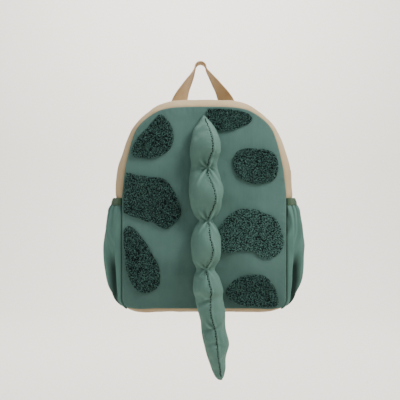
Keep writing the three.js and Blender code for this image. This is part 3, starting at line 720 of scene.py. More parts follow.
def woven(name, light, dark, pitch, weave_height, sheen=0.25, rough=(0.78, 0.95), by_run=False,
          lit_and_worn=1.25, painted_shade=0.55, darkest_painted_shade=0.8, shine=0.25):
    """Cloth with crossing threads, fibres, uneven dye, edges lighter by wear, ridges lighter by painted
    highlight, and painted shade in creases, seams and hollows.
    """
    material, tree, shader = new_material(name)
    where = places_of(tree)
    if by_run:
        threads = threads_of(tree)
    else:
        parts = node(tree, "ShaderNodeSeparateXYZ", Vector=where)
        level = node(tree, "ShaderNodeMath", {"operation": "ADD"})
        linked(tree, parts.outputs["X"], level, 0)
        linked(tree, parts.outputs["Y"], level, 1)
        threads = node(tree, "ShaderNodeCombineXYZ", X=level.outputs[0], Y=parts.outputs["Z"]).outputs[0]
    crossing = node(tree, "ShaderNodeMath", {"operation": "MULTIPLY"})
    for socket, axis in enumerate("XY"):
        linked(tree, wave_height(tree, threads, axis, pitch), crossing, socket)
    weave = crossing.outputs[0]
    patchy = noise(tree, where, 22, 3, 0.6)
    fibres = noise(tree, where, 1400, 2, 0.7)
    streaks = node(tree, "ShaderNodeMapping", Vector=where, Scale=(260, 260, 30)).outputs[0]
    wear_and_shading = wear_and_shading_of(tree)
    tone = layered(
        tree, light,
        (ranged(tree, patchy, 0.3, 0.7), dark),
        (ranged(tree, fibres, 0.35, 0.65, 0, 0.28), dark),
        (ranged(tree, noise(tree, streaks, 1, 2), 0.45, 0.8, 0, 0.5), light),
        # The weave's low places are darker: painted shade between the threads.
        (ranged(tree, weave, start=0.22, end=0), shaded(dark, 0.35)),
        # Above 0 the per-point attribute makes the cloth lighter: worn edges and painted highlights. Below 0
        # it makes it darker: painted shade.
        (ranged(tree, wear_and_shading, end=0.6), shaded(light, lit_and_worn, 0.02)),
        (ranged(tree, wear_and_shading, 0, -1, 0, darkest_painted_shade), shaded(dark, painted_shade)))
    surface(tree, shader, tone, patchy, rough, [(weave, weave_height * MM, 0.8), (fibres, 0.0002, 0.6)],
            Sheen_Weight=sheen, Sheen_Roughness=0.45, Sheen_Tint=light, Specular_IOR_Level=shine)
    return material


def ribbed(name, light, dark, rib, cross, height, sheen=0.15):
    """Webbing or elastic: ribs along the run, with finer threads across them, painted shade between the ribs,
    edges lighter by wear on webbing and painted highlights on the elastic's rib crests.
    """
    material, tree, shader = new_material(name)
    threads, where = threads_of(tree), places_of(tree)
    relief = node(tree, "ShaderNodeMath", {"operation": "MULTIPLY_ADD"})
    linked(tree, wave_height(tree, threads, "Y", cross), relief, 0)
    relief.inputs[1].default_value = 0.45
    linked(tree, wave_height(tree, threads, "X", rib), relief, 2)
    patchy = noise(tree, where, 60, 4)
    fibres = noise(tree, where, 1600, 2)
    tone = layered(
        tree, light,
        (patchy, dark),
        # Low places between the ribs are darker: painted shade.
        (ranged(tree, relief.outputs[0], 0, 1.2, 0.55, 0), shaded(dark, 0.4)),
        (ranged(tree, fibres, end=0.3), dark),
        # Lighter by the per-point attribute: worn edges on webbing, painted highlights on the elastic's rib
        # crests.
        (ranged(tree, wear_and_shading_of(tree), end=0.5), shaded(light, 1.3)))
    surface(tree, shader, tone, patchy, (0.62, 0.85),
            [(relief.outputs[0], height * MM, 1), (fibres, 0.0001, 0.5)],
            Sheen_Weight=sheen, Sheen_Roughness=0.4, Specular_IOR_Level=0.3)
    return material


def curly(name, light, dark):
    """Boucle fleece: matt curls, each of its own tone with a painted highlight at its outer end, and soft
    fibre ends.
    """
    material, tree, shader = new_material(name)
    where = places_of(tree)
    fibres = noise(tree, where, 2400, 3)
    tone = layered(
        tree, dark,
        (ranged(tree, wear_and_shading_of(tree), -1, 1), light),
        (ranged(tree, noise(tree, where, 32, 5), 0.4, 0.75, 0, 0.45), light))
    surface(tree, shader, tone, fibres, (0.85, 1), [(fibres, 0.0004, 1)],
            Sheen_Weight=0.5, Sheen_Roughness=0.5, Sheen_Tint=light, Specular_IOR_Level=0.1)
    return material


def moulded(name, light, dark, rough=0.42):
    """Plastic with a fine moulded grain and lighter rubbed patches here and there."""
    material, tree, shader = new_material(name)
    where = places_of(tree)
    rubbed = noise(tree, where, 130, 4)
    tone = layered(tree, dark, (ranged(tree, rubbed, 0.4, 0.7), light))
    grain = noise(tree, where, 1800, 3)
    surface(tree, shader, tone, rubbed, (rough - 0.1, rough + 0.15), [(grain, 0.00008, 0.5)])
    return material


TEAL = srgb(93, 128, 120)
TEAL_DARK = srgb(80, 113, 106)
SAND = srgb(208, 185, 146)
SAND_DARK = srgb(190, 165, 126)
MATERIALS = {
    "body": woven("body cloth", TEAL, TEAL_DARK, 0.55, 0.12),
    "tail": woven("tail cloth", srgb(101, 137, 126), srgb(88, 122, 112), 0.55, 0.12, lit_and_worn=1.35),
    # The pocket cloth has little sheen and a colour lifted above the body's to make up for it: painted sheen.
    "pocket": woven("pocket cloth", srgb(100, 138, 128), srgb(86, 121, 112), 0.55, 0.12, sheen=0.05,
                    by_run=True, painted_shade=0.1, darkest_painted_shade=0.97, shine=0.05),
    "canvas": woven("canvas", SAND, SAND_DARK, 0.8, 0.2, sheen=0.1, rough=(0.82, 0.97), by_run=True),
    "fleece": curly("boucle fleece", srgb(94, 132, 124), srgb(4, 17, 17)),
    # The fleece's ground is near black: painted shade in the gaps between the curls.
    "fleece_shade_ground": curly("fleece ground in painted shade", srgb(10, 24, 23), srgb(5, 14, 13)),
    "elastic": ribbed("elastic", srgb(64, 97, 67), srgb(49, 79, 54), 1.6, 0.7, 0.35),
    "webbing": ribbed("webbing", srgb(216, 184, 140), srgb(192, 158, 114), 1.7, 0.9, 0.3),
    "tape": ribbed("zip tape", srgb(176, 156, 124), srgb(156, 136, 106), 0.9, 0.5, 0.12),
    "hardware": moulded("moulded plastic", srgb(142, 122, 94), srgb(120, 101, 77)),
    "teeth": moulded("zip teeth", srgb(150, 132, 104), srgb(126, 108, 84), 0.35),
    "thread": woven("green thread", srgb(34, 56, 51), srgb(24, 42, 38), 0.3, 0.05),
    "sand_thread": woven("sand thread", srgb(224, 204, 172), srgb(198, 174, 140), 0.3, 0.05),
}


# Front panel
def front_panel():
    hem = np.array([0.0, 0.25, 0.6, 1.0, 1.5, 2.1, 2.8, 3.6, 4.6, 6, 7.6, 9.4])
    away = np.concatenate([hem, np.linspace(11.5, 137, 44)])
    shares = np.maximum(0, 1 - away / (away[-1] + 2))
    rings, wear_and_shading = [], []
    pucker = waves(21, 9, run["s"]) * 0.22 + waves(22, 26, run["s"]) * 0.2
    for share, distance in zip(shares[::-1], away[::-1]):
        x, z = panel_ring(share)
        roll = 1 - math.sqrt(max(0, 1 - max(0, 1 - distance / 1.5) ** 2))
        ditch = 0.2 * bump(distance - 2.8, 0.7)
        sag = pucker * bump(distance - 4, 5)
        rings.append(xyz(x, panel_y(x, z) + roll + ditch + sag, z))
        # Painted shade towards the bottom of the panel; a painted highlight along the rolled rim, and a
        # painted shadow in the seam at its very edge.
        low = -0.75 * np.clip(1 - z / 95, 0, 1) ** 0.8
        wear_and_shading.append(low + 0.3 * bump(distance - 1.2, 0.9) - 0.6 * bump(distance, 0.5))
    for share, wall in ((1, 0.6), (0.992, 1), (0.95, 1), (0.7, 1), (0.4, 1), (0, 1)):
        x, z = panel_ring(share)
        rings.append(xyz(x, panel_front(x, z) + PANEL_WALL * wall, z))
        wear_and_shading.append(np.zeros(len(x)))
    piece(disc_mesh("front_panel_cloth", rings, wear_and_shading), "body", "body_cloth", "front_panel")


# Gusset
def gusset_surface(part, depth, seed):
    """The outer face of the gusset, with the puckers that its seams draw in."""
    out = gusset_out(part, depth)
    x, z = part["x"][:, None], part["z"][:, None]
    across = depth[None, :] * GUSSET_DEPTH
    pucker = 0.6 * waves(seed, 12, x, z) * bump(across - 5, 7)
    pucker = pucker + 0.6 * waves(seed + 1, 14, x, z) * bump(GUSSET_DEPTH - across - 5, 7)
    slow = 0.8 * waves(seed + 2, 60, x, z, across) + 0.3 * waves(seed + 3, 24, x, z, 2 * across)
    calm = np.sin(math.pi * np.clip(depth, 0, 1))[None, :] ** 0.5
    ditch = 1.6 * bump(across - 0.8, 1.6)
    return out + (pucker + slow) * calm - ditch


HEM_SEAM = 0.075


def gusset_upper(name, low, high, hem_at_high):
    half = find_station(GUSSET_JOINT)
    part = stations(-half, half)
    depth = np.unique(np.concatenate([
        np.linspace(low, high, 30), low + np.array([0.004, 0.01]), high - np.array([0.004, 0.01])]))
    outer = gusset_surface(part, depth, 31)
    inner = gusset_out(part, depth) - GUSSET_WALL
    inward = (high - depth) if hem_at_high else (depth - low)
    outer = outer - 0.9 * bump(inward, 0.006)[None, :] - 0.45 * bump(inward - HEM_SEAM, 0.008)[None, :]
    # Lighter along the hem's fold; darker along its stitch line and at the seam with the panel or the back:
    # painted shade in the seams.
    level = 0.5 * bump(inward - 0.01, 0.012) - 0.5 * bump(inward - HEM_SEAM, 0.006)
    level = level - 1.2 * bump(depth - (0 if low == 0 else 1), 0.022)
    wall_piece(f"{name}_cloth", wall_rings(part, depth, outer, inner), level, "canvas", "canvas", name)
    seam = high - HEM_SEAM if hem_at_high else low + HEM_SEAM
    out = np.array([np.interp(seam, depth, row) for row in outer])
    stitches(f"{name}_cloth_stitches", *station_line(part, seam, out), "hem", "sand_thread", "canvas")


def gusset_lower():
    first = find_station(GUSSET_JOINT)
    part = stations(first, len(run["x"]) - first)
    part["z"][[0, -1]] -= SEAM_GAP
    depth = np.linspace(0, 1, 32)
    plain = gusset_out(part, depth)
    open_share = np.clip((np.abs(part["z"] / PANEL_HEIGHT - 0.29) - 0.25) / 0.02, 0.2, 1)[:, None]
    outer = plain + (gusset_surface(part, depth, 31) - plain) * open_share
    # Darker at the front and back seams and along the bottom, which faces down: painted shade.
    level = -bump(depth, 0.015) - 0.45 * bump(1 - depth, 0.02)
    underside_shade = -0.9 * np.clip(1 - part["z"] / 12, 0, 1)[:, None]
    wall_piece("gusset_lower_cloth", wall_rings(part, depth, outer, plain - GUSSET_WALL),
               level[None, :] + underside_shade, "canvas", "canvas", "gusset_lower")


# Stitches: short slugs of thread, pointed at both ends. Their sizes are the
# pitch, the length and the thickness.
STITCH = {"hem": (3.2, 2.5, 0.55), "tail": (3.9, 2.7, 1.6), "box": (2.6, 2.1, 0.5), "pad": (3, 2.3, 0.5)}
STITCH_RINGS = [(-0.5, 0.35), (-0.3, 0.9), (0, 1), (0.3, 0.9), (0.5, 0.35)]
STITCH_SIDES = 6


def slug(length, thick):
    points, faces = [], []
    for at, size in STITCH_RINGS:
        for k in range(STITCH_SIDES):
            turn = 2 * math.pi * k / STITCH_SIDES
            points.append((at * length, size * thick / 2 * math.cos(turn), size * thick / 2 * math.sin(turn)))
    faces = grid_faces(len(STITCH_RINGS), STITCH_SIDES, True)
    last = (len(STITCH_RINGS) - 1) * STITCH_SIDES
    faces += [face[::-1] for face in ladder(0, STITCH_SIDES)] + ladder(last, STITCH_SIDES)
    return np.array(points), faces


def stitches(name, line, normals, size, material, slot):
    """A row of stitches along a line of points, lying on a surface."""
    pitch, length, thick = STITCH[size]
    s = along(line)
    at = np.arange(pitch / 2, s[-1] - pitch / 4, pitch)
    up = read_line(normals, s, at)
    template, faces = slug(length, thick)
    place = read_line(line, s, at) + up * thick * 0.15
    turns = frames(read_line(line, s, at + 0.5) - read_line(line, s, at - 0.5), up)
    piece(copies_mesh(name, template, faces, place, turns), material, slot)


# Zip: a ribbed tape behind the two strips, and two rows of teeth that mesh
TOOTH_PITCH = 2.3


def zip_pieces():
    half = find_station(GUSSET_JOINT)
    part = stations(-half, half)
    depth = np.linspace(ZIP_MOUTH[0] - ZIP_HEM, ZIP_MOUTH[1] + ZIP_HEM, 18)
    outer = gusset_out(part, depth) - GUSSET_WALL - SEAM_GAP
    piece(tube_mesh("zip_tape", wall_rings(part, depth, outer, outer - ZIP_TAPE)), "tape", "zip_tape", "zip")
    middle = sum(ZIP_MOUTH) / 2
    out = gusset_out(part, np.array([middle]))[:, 0] - GUSSET_WALL - SEAM_GAP
    line, normals = station_line(part, middle, out)
    s = along(line)
    at = np.arange(TOOTH_PITCH, s[-1] - TOOTH_PITCH, TOOTH_PITCH / 2)
    template = np.array([
        (size * x, size * y, z) for z, size in ((-0.1, 1), (ZIP_RIDGE * 0.7, 1), (ZIP_RIDGE, 0.6))
        for x, y in ((-0.75, -1.9), (0.75, -1.9), (0.75, 1.9), (-0.75, 1.9))])
    faces = grid_faces(3, 4, True) + [[3, 2, 1, 0], [8, 9, 10, 11]]
    centre = read_line(line, s, at)
    centre[:, 1] += np.where(np.arange(len(at)) % 2 == 0, 0.7, -0.7)
    turns = frames(read_line(line, s, at + 0.5) - centre, read_line(normals, s, at))
    mesh = copies_mesh("zip_teeth", template, faces, centre, turns)
    mesh.shade_flat()
    piece(mesh, "teeth", "zip_tape")


# Side pockets
POCKET_DEPTHS = np.concatenate([
    np.linspace(0, 0.16, 26), np.linspace(0.17, 0.9, 46), np.linspace(0.91, 1, 8)])
FOLD_DEPTH = 0.042
RIB_HEIGHT = 0.28
RIB_PITCH = 2.4


def pocket_shape(part, depth, thick, pleat=0.0):
    """How far the pocket's outer face stands out at each station and depth."""
    s = SECTION["depth"]
    mouth = smooth(s, SECTION["mouth"], depth, level=True)
    belly = smooth(s, SECTION["belly"], depth, level=True)
    close = gusset_out(part, depth) + SEAM_GAP + thick
    middle = gusset_out(part, np.array([0.5])) + SEAM_GAP + thick
    swell = np.maximum(0, part["reach"][:, None] * POCKET_SWELL - middle)
    shape = lerp(mouth[None, :], belly[None, :], part["fold"][:, None])
    gathers = pleat * np.sin(math.pi * np.clip(depth, 0, 1))[None, :] ** 0.6
    return close + swell * shape + gathers


def pocket(sign, name):
    part = stations(find_station(BAND_FOOT), find_station(POCKET_FOOT))
    depth = POCKET_DEPTHS
    up, fold = part["up"][:, None], part["fold"][:, None]
    below = (BAND_FOOT - up) * PANEL_HEIGHT
    across = depth[None, :] * GUSSET_DEPTH
    seed = 51 if sign > 0 else 61
    fan = across + 3 * waves(seed, 50, below, across)
    gather = 2.2 * ripple(fan, 10.5) + 1.1 * ripple(fan, 6.1, 1)
    gather = gather * np.exp(-below / 22) * (0.7 + 0.3 * waves(seed + 1, 30, across))
    soft = 0.9 * waves(seed + 2, 38, below, across) * np.minimum(1, below / 25)
    foot = np.clip((up - POCKET_FOOT) / 0.09, 0, 1)
    outer = pocket_shape(part, depth, POCKET_WALL, (gather + soft) * foot)
    strip = np.array([np.interp(FOLD_DEPTH, depth, row) for row in outer])[:, None]
    rise = outer - strip - 0.12 * across
    # Painted shade in the deep crease behind the fold, on the near part of the belly's rise.
    onset = np.clip((CREASE_TOP - up) / CREASE_FADE, 0, 1)
    crease_shade = np.clip(1.5 - rise / 9.5, 0, 1) * np.interp(depth, *CREASE_SHADE)
    crease_shade = crease_shade * np.minimum(1, 1.8 * fold) ** 1.3 * onset * onset * (3 - 2 * onset)
    close = gusset_out(part, depth) + SEAM_GAP
    outer = np.maximum(outer, close + POCKET_WALL)
    rings = wall_rings(part, depth, outer, np.maximum(outer - POCKET_WALL, close))
    rings[..., 0] *= sign
    # Lighter along the fold's edge; darker in the crease and at the front seam: painted shade; the pleats'
    # crests lighter and their hollows darker, and the right pocket a little darker and the left a little
    # lighter: painted light.
    level = 0.4 * bump(depth - FOLD_DEPTH, 0.01)[None, :] * fold - crease_shade - 0.5 * bump(depth, 0.006)[None, :]
    level = level + 0.45 * np.clip(gather, -1, 1) - 0.1 * sign
    wall_piece(f"pocket_{name}_cloth", rings, level, "pocket", "body_cloth", f"pocket_{name}")


def pocket_band(sign, name):
    top, foot = find_station(BAND_TOP), find_station(BAND_FOOT)
    fine = np.linspace(0, 1, 13)
    part = {key: np.interp(fine * (foot - top), np.arange(foot - top + 1), column)
            for key, column in stations(top, foot).items()}
    part["z"] = part["z"] + SEAM_GAP
    depth = np.linspace(0, 1, 140)
    across = depth[None, :] * GUSSET_DEPTH
    seed = 71 if sign > 0 else 81
    ribs = RIB_HEIGHT * ripple(across, RIB_PITCH, 0.6 * waves(seed, 20, across))
    roll = -0.8 * (bump(fine, 0.09) + bump(1 - fine, 0.09))[:, None]
    ditch = -0.55 * bump(fine - 0.8, 0.07)[:, None]
    scallop = 0.5 * waves(seed + 1, 12, across) * fine[:, None]
    calm = np.sin(math.pi * depth)[None, :] ** 0.5
    outer = pocket_shape(part, depth, BAND_WALL, (ribs + roll + ditch + scallop) * calm)
    inner = pocket_shape(part, depth, BAND_WALL) - BAND_WALL
    rings = wall_rings(part, depth, outer, inner)
    rings[:, :, 2] += np.concatenate([0.35 * waves(seed + 2, 9, across) * calm] * 2, axis=1)
    rings[..., 0] *= sign
    # Painted highlight on the ribs' crests and painted shade in the ditch near the band's foot.
    level = 0.5 * np.clip(ribs / RIB_HEIGHT, -1, 1) - 0.8 * bump(fine - 0.8, 0.06)[:, None]
    wall_piece(f"pocket_band_{name}_elastic", rings, level, "elastic", "elastic", f"pocket_band_{name}")


# Tail
def tail_rows(count):
    """Sections of the tail at even heights."""
    index = np.arange(len(TAIL["down"]))
    dense = np.linspace(0, index[-1], 40 * len(index))
    down = smooth(index, TAIL["down"], dense)
    at = np.interp(np.linspace(0, 1, count), down, dense)
    rows = {key: smooth(index, column, at) for key, column in TAIL.items()}
    return {
        "z": PANEL_HEIGHT - TAIL_TOP_DROP - rows["down"] * TAIL_LENGTH,
        "left": rows["left"] * TAIL_WIDTH,
        "seam": rows["seam"] * TAIL_WIDTH,
        "right": rows["right"] * TAIL_WIDTH,
        "thick": np.maximum(0.5, rows["thick"] * TAIL_DEPTH),
    }


def tail_rings(rows, side_points):
    """Rings from the ridge seam round the right side and back up the left."""
    shape = np.stack([TAIL_SECTION["out"], TAIL_SECTION["deep"]], axis=1)
    s = along(shape * [1, 1.2])
    at = np.linspace(0, s[-1], side_points + 1)
    out = smooth(s, shape[:, 0], at)
    deep = np.maximum(0, smooth(s, shape[:, 1], at))
    out[-1] = 0
    right, left = (
        xyz(lerp(rows["seam"][:, None], rows[side][:, None], out[None, :]),
            deep[None, :] * rows["thick"][:, None], rows["z"][:, None])
        for side in ("right", "left"))
    rings = np.concatenate([right, left[:, -2:0:-1]], axis=1)
    x, deep, z = rings[..., 0], rings[..., 1], rings[..., 2]
    return xyz(x, panel_y(x, np.maximum(z, 0)) - SEAM_GAP - deep, z), deep


def knot_pull(x, z):
    """How much nearer to the panel the stuffing is drawn round each knot."""
    pulled = 0
    for knot in PINCHES:
        over = z - knot["z"]
        away = np.hypot(x - knot["x"], np.where(over > 0, 1.35, 0.95) * over)
        pulled = pulled + knot["pull"] * np.exp(-((away / knot["spread"]) ** 1.5))
    return pulled


def knot_folds(x, z):
    """Folds that run into the knots: how deep each point lies in them."""
    fold = 0
    for knot in PINCHES:
        dx, dz = x - knot["x"], z - knot["z"]
        for degrees, length, deep in knot["folds"]:
            turn = math.radians(degrees)
            forward = dx * math.cos(turn) + dz * math.sin(turn)
            bent = 0.2 * math.sin(2 * turn) * np.maximum(forward, 0) ** 2 / length
            beside = -dx * math.sin(turn) + dz * math.cos(turn) - bent
            width = (1.05 if knot["pull"] > 2 else 1.7) + 0.04 * np.maximum(forward, 0)
            strength = np.clip(1 - forward / length, 0, 1) ** 0.7 * np.clip((forward + 1) / 2.5, 0, 1)
            profile = bump(beside, width) - 0.4 * bump(np.abs(beside) - 1.9 * width, width)
            fold = fold + 1.3 * deep * strength * profile
    return np.clip(fold, -1.8, 1.7)


def knot_calm(x, z, reach):
    """0 at the first three knots, 1 away from them."""
    return 1 - sum(bump(np.hypot(x - knot["x"], z - knot["z"]), reach) for knot in PINCHES[:3])


def lobe_shade(x, z):
    """The underside of each lobe, just above its knot, where light hardly reaches."""
    return sum(
        bump(np.hypot(x - knot["x"] + 3, (z - knot["z"] - 9) * 0.9), 6.5) for knot in PINCHES[:3])


def tail():
    rough = tail_rows(TAIL_ROUGH[0])
    rings, deep = tail_rings(rough, TAIL_ROUGH[1] // 2)
    front = np.clip(deep / np.maximum(rough["thick"][:, None], 1), 0, 1)
    x, z = rings[..., 0], rings[..., 2]
    rings[..., 1] += knot_pull(x, z) * front ** 0.6
    pins = np.where(front < 0.45, 1.0, 0.0)
    for knot in PINCHES:
        pins[np.hypot(x - knot["x"], z - knot["z"]) < 3] = 1
    pins[:, 0] = np.maximum(pins[:, 0], 0.5)
    pins[:2] = 1
    pins[-3:] = 1
    fine = finer(inflate(rings, pins, 3.0, -0.02, 2), *TAIL_FINE)
    share = finer(front[..., None], *TAIL_FINE)[..., 0]
    normal = skin_normals(fine)
    x, z = fine[..., 0], fine[..., 2]
    column = np.arange(fine.shape[1])
    arc = np.concatenate([np.zeros((len(fine), 1)), np.cumsum(
        np.linalg.norm(np.diff(fine, axis=1), axis=2), axis=1)], axis=1)
    whole = arc[:, -1:] + np.linalg.norm(fine[:, -1] - fine[:, 0], axis=-1)[:, None]
    beside = np.where(column[None, :] <= fine.shape[1] // 2, arc, arc - whole)
    s = along(fine[:, 0])[:, None]
    puckered = 1 + 0.6 * ripple(s, 3.8)
    face = np.clip(share * 2 - 0.4, 0, 1)
    calm = np.clip((s - 3) / 4, 0, 1) * knot_calm(x, z, 3.5)
    groove = 0.7 * bump(beside, 1.1) * puckered * calm - 0.6 * bump(beside - 2.3, 1.2)
    radial = 0.16 * ripple(s, 6.6, 2 * waves(91, 30, s)) * bump(np.abs(beside) - 3, 3)
    folds = knot_folds(x, z) * face
    soft = 0.5 * waves(92, 26, x, z, fine[..., 1])
    inward = groove * face + radial * face + folds + soft * np.clip(share * 3, 0, 1)
    fine = fine - normal * inward[..., None]
    # Painted light: ridges lighter, folds darker, painted shade under each lobe, and painted highlights on
    # the lip beside the seam and at each of the first three knots.
    wear_and_shading = 0.8 * np.clip(-folds, 0, 1) - 0.4 * np.clip(folds, 0, 1.5) - 0.35 * lobe_shade(x, z) * face
    wear_and_shading = wear_and_shading + 0.3 * bump(beside - 2.4, 1.1) * face + 0.9 * (1 - knot_calm(x, z, 2)) * face
    obj = piece(tube_mesh("tail_stuffed", fine, wear_and_shading), "tail", "body_cloth", "tail")
    seam = fine[:, 0] + 0.5 * ripple(s, 9.3) * [[1, 0, 0]]
    seam = seam - normal[:, 0] * 4 * (knot_calm(x, z, 2.2)[:, :1] < 0.6)
    stitches("tail_seam_stitches", seam[6:-6], normal[6:-6, 0], "tail", "thread", "body_cloth")


# Patches of boucle fleece
def patch_outline(across, up, reach, corners, count=144):
    marks = dict(enumerate(reach)) | corners
    hours = sorted(marks)
    shares = [marks[hour] for hour in hours]
    at = np.linspace(0, len(reach), count, endpoint=False)
    places = [hour - 12 for hour in hours[-3:]] + hours + [hour + 12 for hour in hours[:3]]
    distance = smooth(places, shares[-3:] + shares + shares[:3], at, level=True) * PATCH_REACH
    angle = at / len(reach) * 2 * math.pi
    x = across * PANEL_WIDTH + np.sin(angle) * distance
    z = up * PANEL_HEIGHT + np.cos(angle) * distance
    rows = tail_rows(300)
    edge = rows["right"] if across > 0 else rows["left"]
    limit = np.interp(z, rows["z"][::-1], edge[::-1])
    gap = 2 * SEAM_GAP
    x = np.maximum(x, limit + gap) if across > 0 else np.minimum(x, limit - gap)
    draw = np.minimum(1, (1 - PATCH_INSET / HALF_WIDTH) / rim_share(x, z))
    return x * draw, lerp(MIDDLE_UP, z, draw)


def inside(x, z, outline_x, outline_z):
    """Whether points lie in a closed outline."""
    found = np.zeros(len(x), bool)
    for k in range(len(outline_x)):
        ax, az = outline_x[k - 1], outline_z[k - 1]
        bx, bz = outline_x[k], outline_z[k]
        spans = (az > z) != (bz > z)
        crossing = ax + (z - az) * (bx - ax) / np.where(bz == az, 1, bz - az)
        found ^= spans & (x < crossing)
    return found


def curl_template():
    """A short open curl of yarn, a bit more than one turn."""
    rings, sides = 7, 4
    points = []
    for k in range(rings):
        share = k / (rings - 1)
        turn = 2 * math.pi * 1.15 * share
        radius = 0.72 * (1 - 0.25 * share)
        centre = np.array([radius * math.cos(turn), radius * math.sin(turn), 0.9 * (share - 0.5)])
        outward = np.array([math.cos(turn), math.sin(turn), 0])
        size = 0.4 * (0.55 if k in (0, rings - 1) else 1)
        for side in range(sides):
            angle = 2 * math.pi * side / sides
            points.append(centre + size * (math.cos(angle) * outward + math.sin(angle) * np.array([0, 0, 1])))
    faces = grid_faces(rings, sides, True) + [[3, 2, 1, 0]]
    last = (rings - 1) * sides
    faces.append([last, last + 1, last + 2, last + 3])
    return np.array(points), faces


# The fleece's ground, from its middle out over the edge and back underneath:
# the share of the way out and of the pile's height. Then how far apart curls lie.
PATCH_PROFILE = [(0, 1), (0.25, 1), (0.5, 1), (0.75, 1), (0.9, 1), (0.96, 0.86), (0.99, 0.55),
                 (1, 0.2), (0.99, 0), (0.75, 0), (0.4, 0), (0, 0)]
CURL_STEP = 1.75


def patch(number, across, up, reach, shade, corners):
    outline_x, outline_z = patch_outline(across, up, reach, corners)
    centre_x, centre_z = across * PANEL_WIDTH, up * PANEL_HEIGHT
    rings = []
    for share, pile in PATCH_PROFILE:
        x = lerp(centre_x, outline_x, share)
        z = lerp(centre_z, outline_z, share)
        rough = 0.35 * waves(100 + number, 5, x, z) * (pile > 0.5)
        rings.append(xyz(x, panel_y(x, z) - PATCH_GAP - pile * (PATCH_PILE - 0.8) + rough, z))
    name = f"patch_{number}"
    # The ground under the curls takes the near-black material: painted shade between them.
    piece(disc_mesh(f"{name}_ground", rings), "fleece_shade_ground", "fleece")
    dice = np.random.default_rng(200 + number)
    span = 2 * PATCH_REACH
    rows = np.arange(-span, span, CURL_STEP * math.sqrt(3) / 2)
    stagger = np.where(np.arange(len(rows)) % 2, CURL_STEP / 2, 0)[:, None]
    grid_x = np.arange(-span, span, CURL_STEP)[None, :] + stagger
    grid_z = np.broadcast_to(rows[:, None], grid_x.shape)
    x = centre_x + grid_x.ravel() + dice.normal(0, 0.4, grid_x.size)
    z = centre_z + grid_z.ravel() + dice.normal(0, 0.4, grid_x.size)
    keep = inside(x, z, outline_x, outline_z)
    x, z = x[keep], z[keep]
    y = panel_y(x, z) - PATCH_GAP - PATCH_PILE + 0.9 + dice.uniform(-0.9, 0.5, len(x))
    lean = dice.normal(0, 0.7, (len(x), 3)) + [0, -1, 0]
    turns = frames(np.cross(lean, dice.normal(size=(len(x), 3))), lean)
    turns = turns * dice.uniform(0.75, 1.1, len(x))[:, None, None]
    mesh = copies_mesh(f"{name}_curls", *curl_template(), xyz(x, y, z), turns, shade, 0.7)
    piece(mesh, "fleece", "fleece", name)


# Webbing
def two_faces(across, level):
    """The section of a flat form: one face from side to side, then back by the other."""
    return np.concatenate([np.stack([across, level], axis=1), np.stack([across, -level], axis=1)[::-1]])


def ribbon_rings(path, sides, width, thick):
    """Rings of a flat woven band with rounded edges."""
    face = unit(np.cross(np.gradient(path, axis=0), sides))
    across = np.concatenate([[-1, -0.975], np.linspace(-0.93, 0.93, 15), [0.975, 1]])
    round_off = np.minimum(1, np.sqrt(np.maximum(0, 1 - ((np.abs(across) - 0.9) / 0.1).clip(0) ** 2)) + 0.25)
    level = round_off * (1 - 0.12 * bump(np.abs(across) - 0.82, 0.05))
    section = two_faces(across, level)
    return (path[:, None, :] + unit(sides)[:, None, :] * section[None, :, :1] * width / 2
            + face[:, None, :] * section[None, :, 1:] * thick / 2)


def band_wear(rings):
    """Worn edges of a band: the two outermost points of each face at both sides."""
    edge = np.zeros(rings.shape[:2])
    count = rings.shape[1] // 2
    for k in (0, 1, count - 2, count - 1):
        edge[:, [k, -1 - k]] = 0.7
    return edge


def carry_loop():
    down, across, twist = (np.array(LOOP[key]) for key in ("down", "across", "twist"))
    x = across * LOOP_SPREAD
    shift = BAG_SHIFT * np.minimum(1, down)
    z = -down * HANG_DROP
    radius = HOOK_RADIUS + LOOP_THICK / 2
    turn = np.radians(np.arange(180, -1, -20))
    line = np.concatenate([
        xyz(-x + shift, z, twist),
        xyz(radius * np.cos(turn), radius * np.sin(turn) - HOOK_RADIUS, 90),
        xyz(x + shift, z, twist)[::-1]])
    s = along(line[:, :2])
    at = np.linspace(0, s[-1], 220)
    x, z, twist = (smooth(s, line[:, k], at, level=k == 2) for k in range(3))
    twist = np.radians(twist)
    path = xyz(x, 0, z) + [-BAG_SHIFT, 0, HANG_DROP + PANEL_HEIGHT]
    ahead = unit(np.gradient(path, axis=0))
    sides = xyz(-ahead[:, 2] * np.cos(twist), -np.sin(twist), ahead[:, 0] * np.cos(twist))
    rings = ribbon_rings(path, sides, LOOP_WIDTH, LOOP_THICK)
    cupped = 1.2 * np.sin(np.pi * np.linspace(0, 1, len(path))) ** 2
    bend = 1 - np.linspace(-1, 1, rings.shape[1] // 2) ** 2
    bend = np.concatenate([bend, bend[::-1]])
    rings = rings - np.cross(ahead, sides)[:, None, :] * (cupped[:, None] * bend[None, :] * 0.5)[..., None]
    piece(tube_mesh("carry_loop_webbing", rings, band_wear(rings)), "webbing", "webbing", "carry_loop")
    for sign, name in ((-1, "left"), (1, "right")):
        place = np.array([sign * LOOP_SPREAD, 0.8, PANEL_HEIGHT - 14])
        box_stitch(f"carry_loop_{name}_stitches", place, np.array([1, 0, 0]), np.array([0, 0, 1]), 19, 15)


def box_stitch(name, centre, across, up, width, height):
    """A square of stitches with a cross in it, facing the back."""
    w, h = across * width / 2, up * height / 2
    corners = [centre - w - h, centre + w - h, centre + w + h, centre - w + h]
    route = [corners[k] for k in (0, 1, 2, 3, 0, 2, 3, 1)]
    line = np.concatenate([np.linspace(a, b, 12) for a, b in zip(route[:-1], route[1:])])
    keep = np.concatenate([[True], np.linalg.norm(np.diff(line, axis=0), axis=1) > 1e-6])
    line = line[keep]
    normals = np.broadcast_to([0, 1, 0], line.shape)
    stitches(name, line, normals, "box", "sand_thread", "webbing")


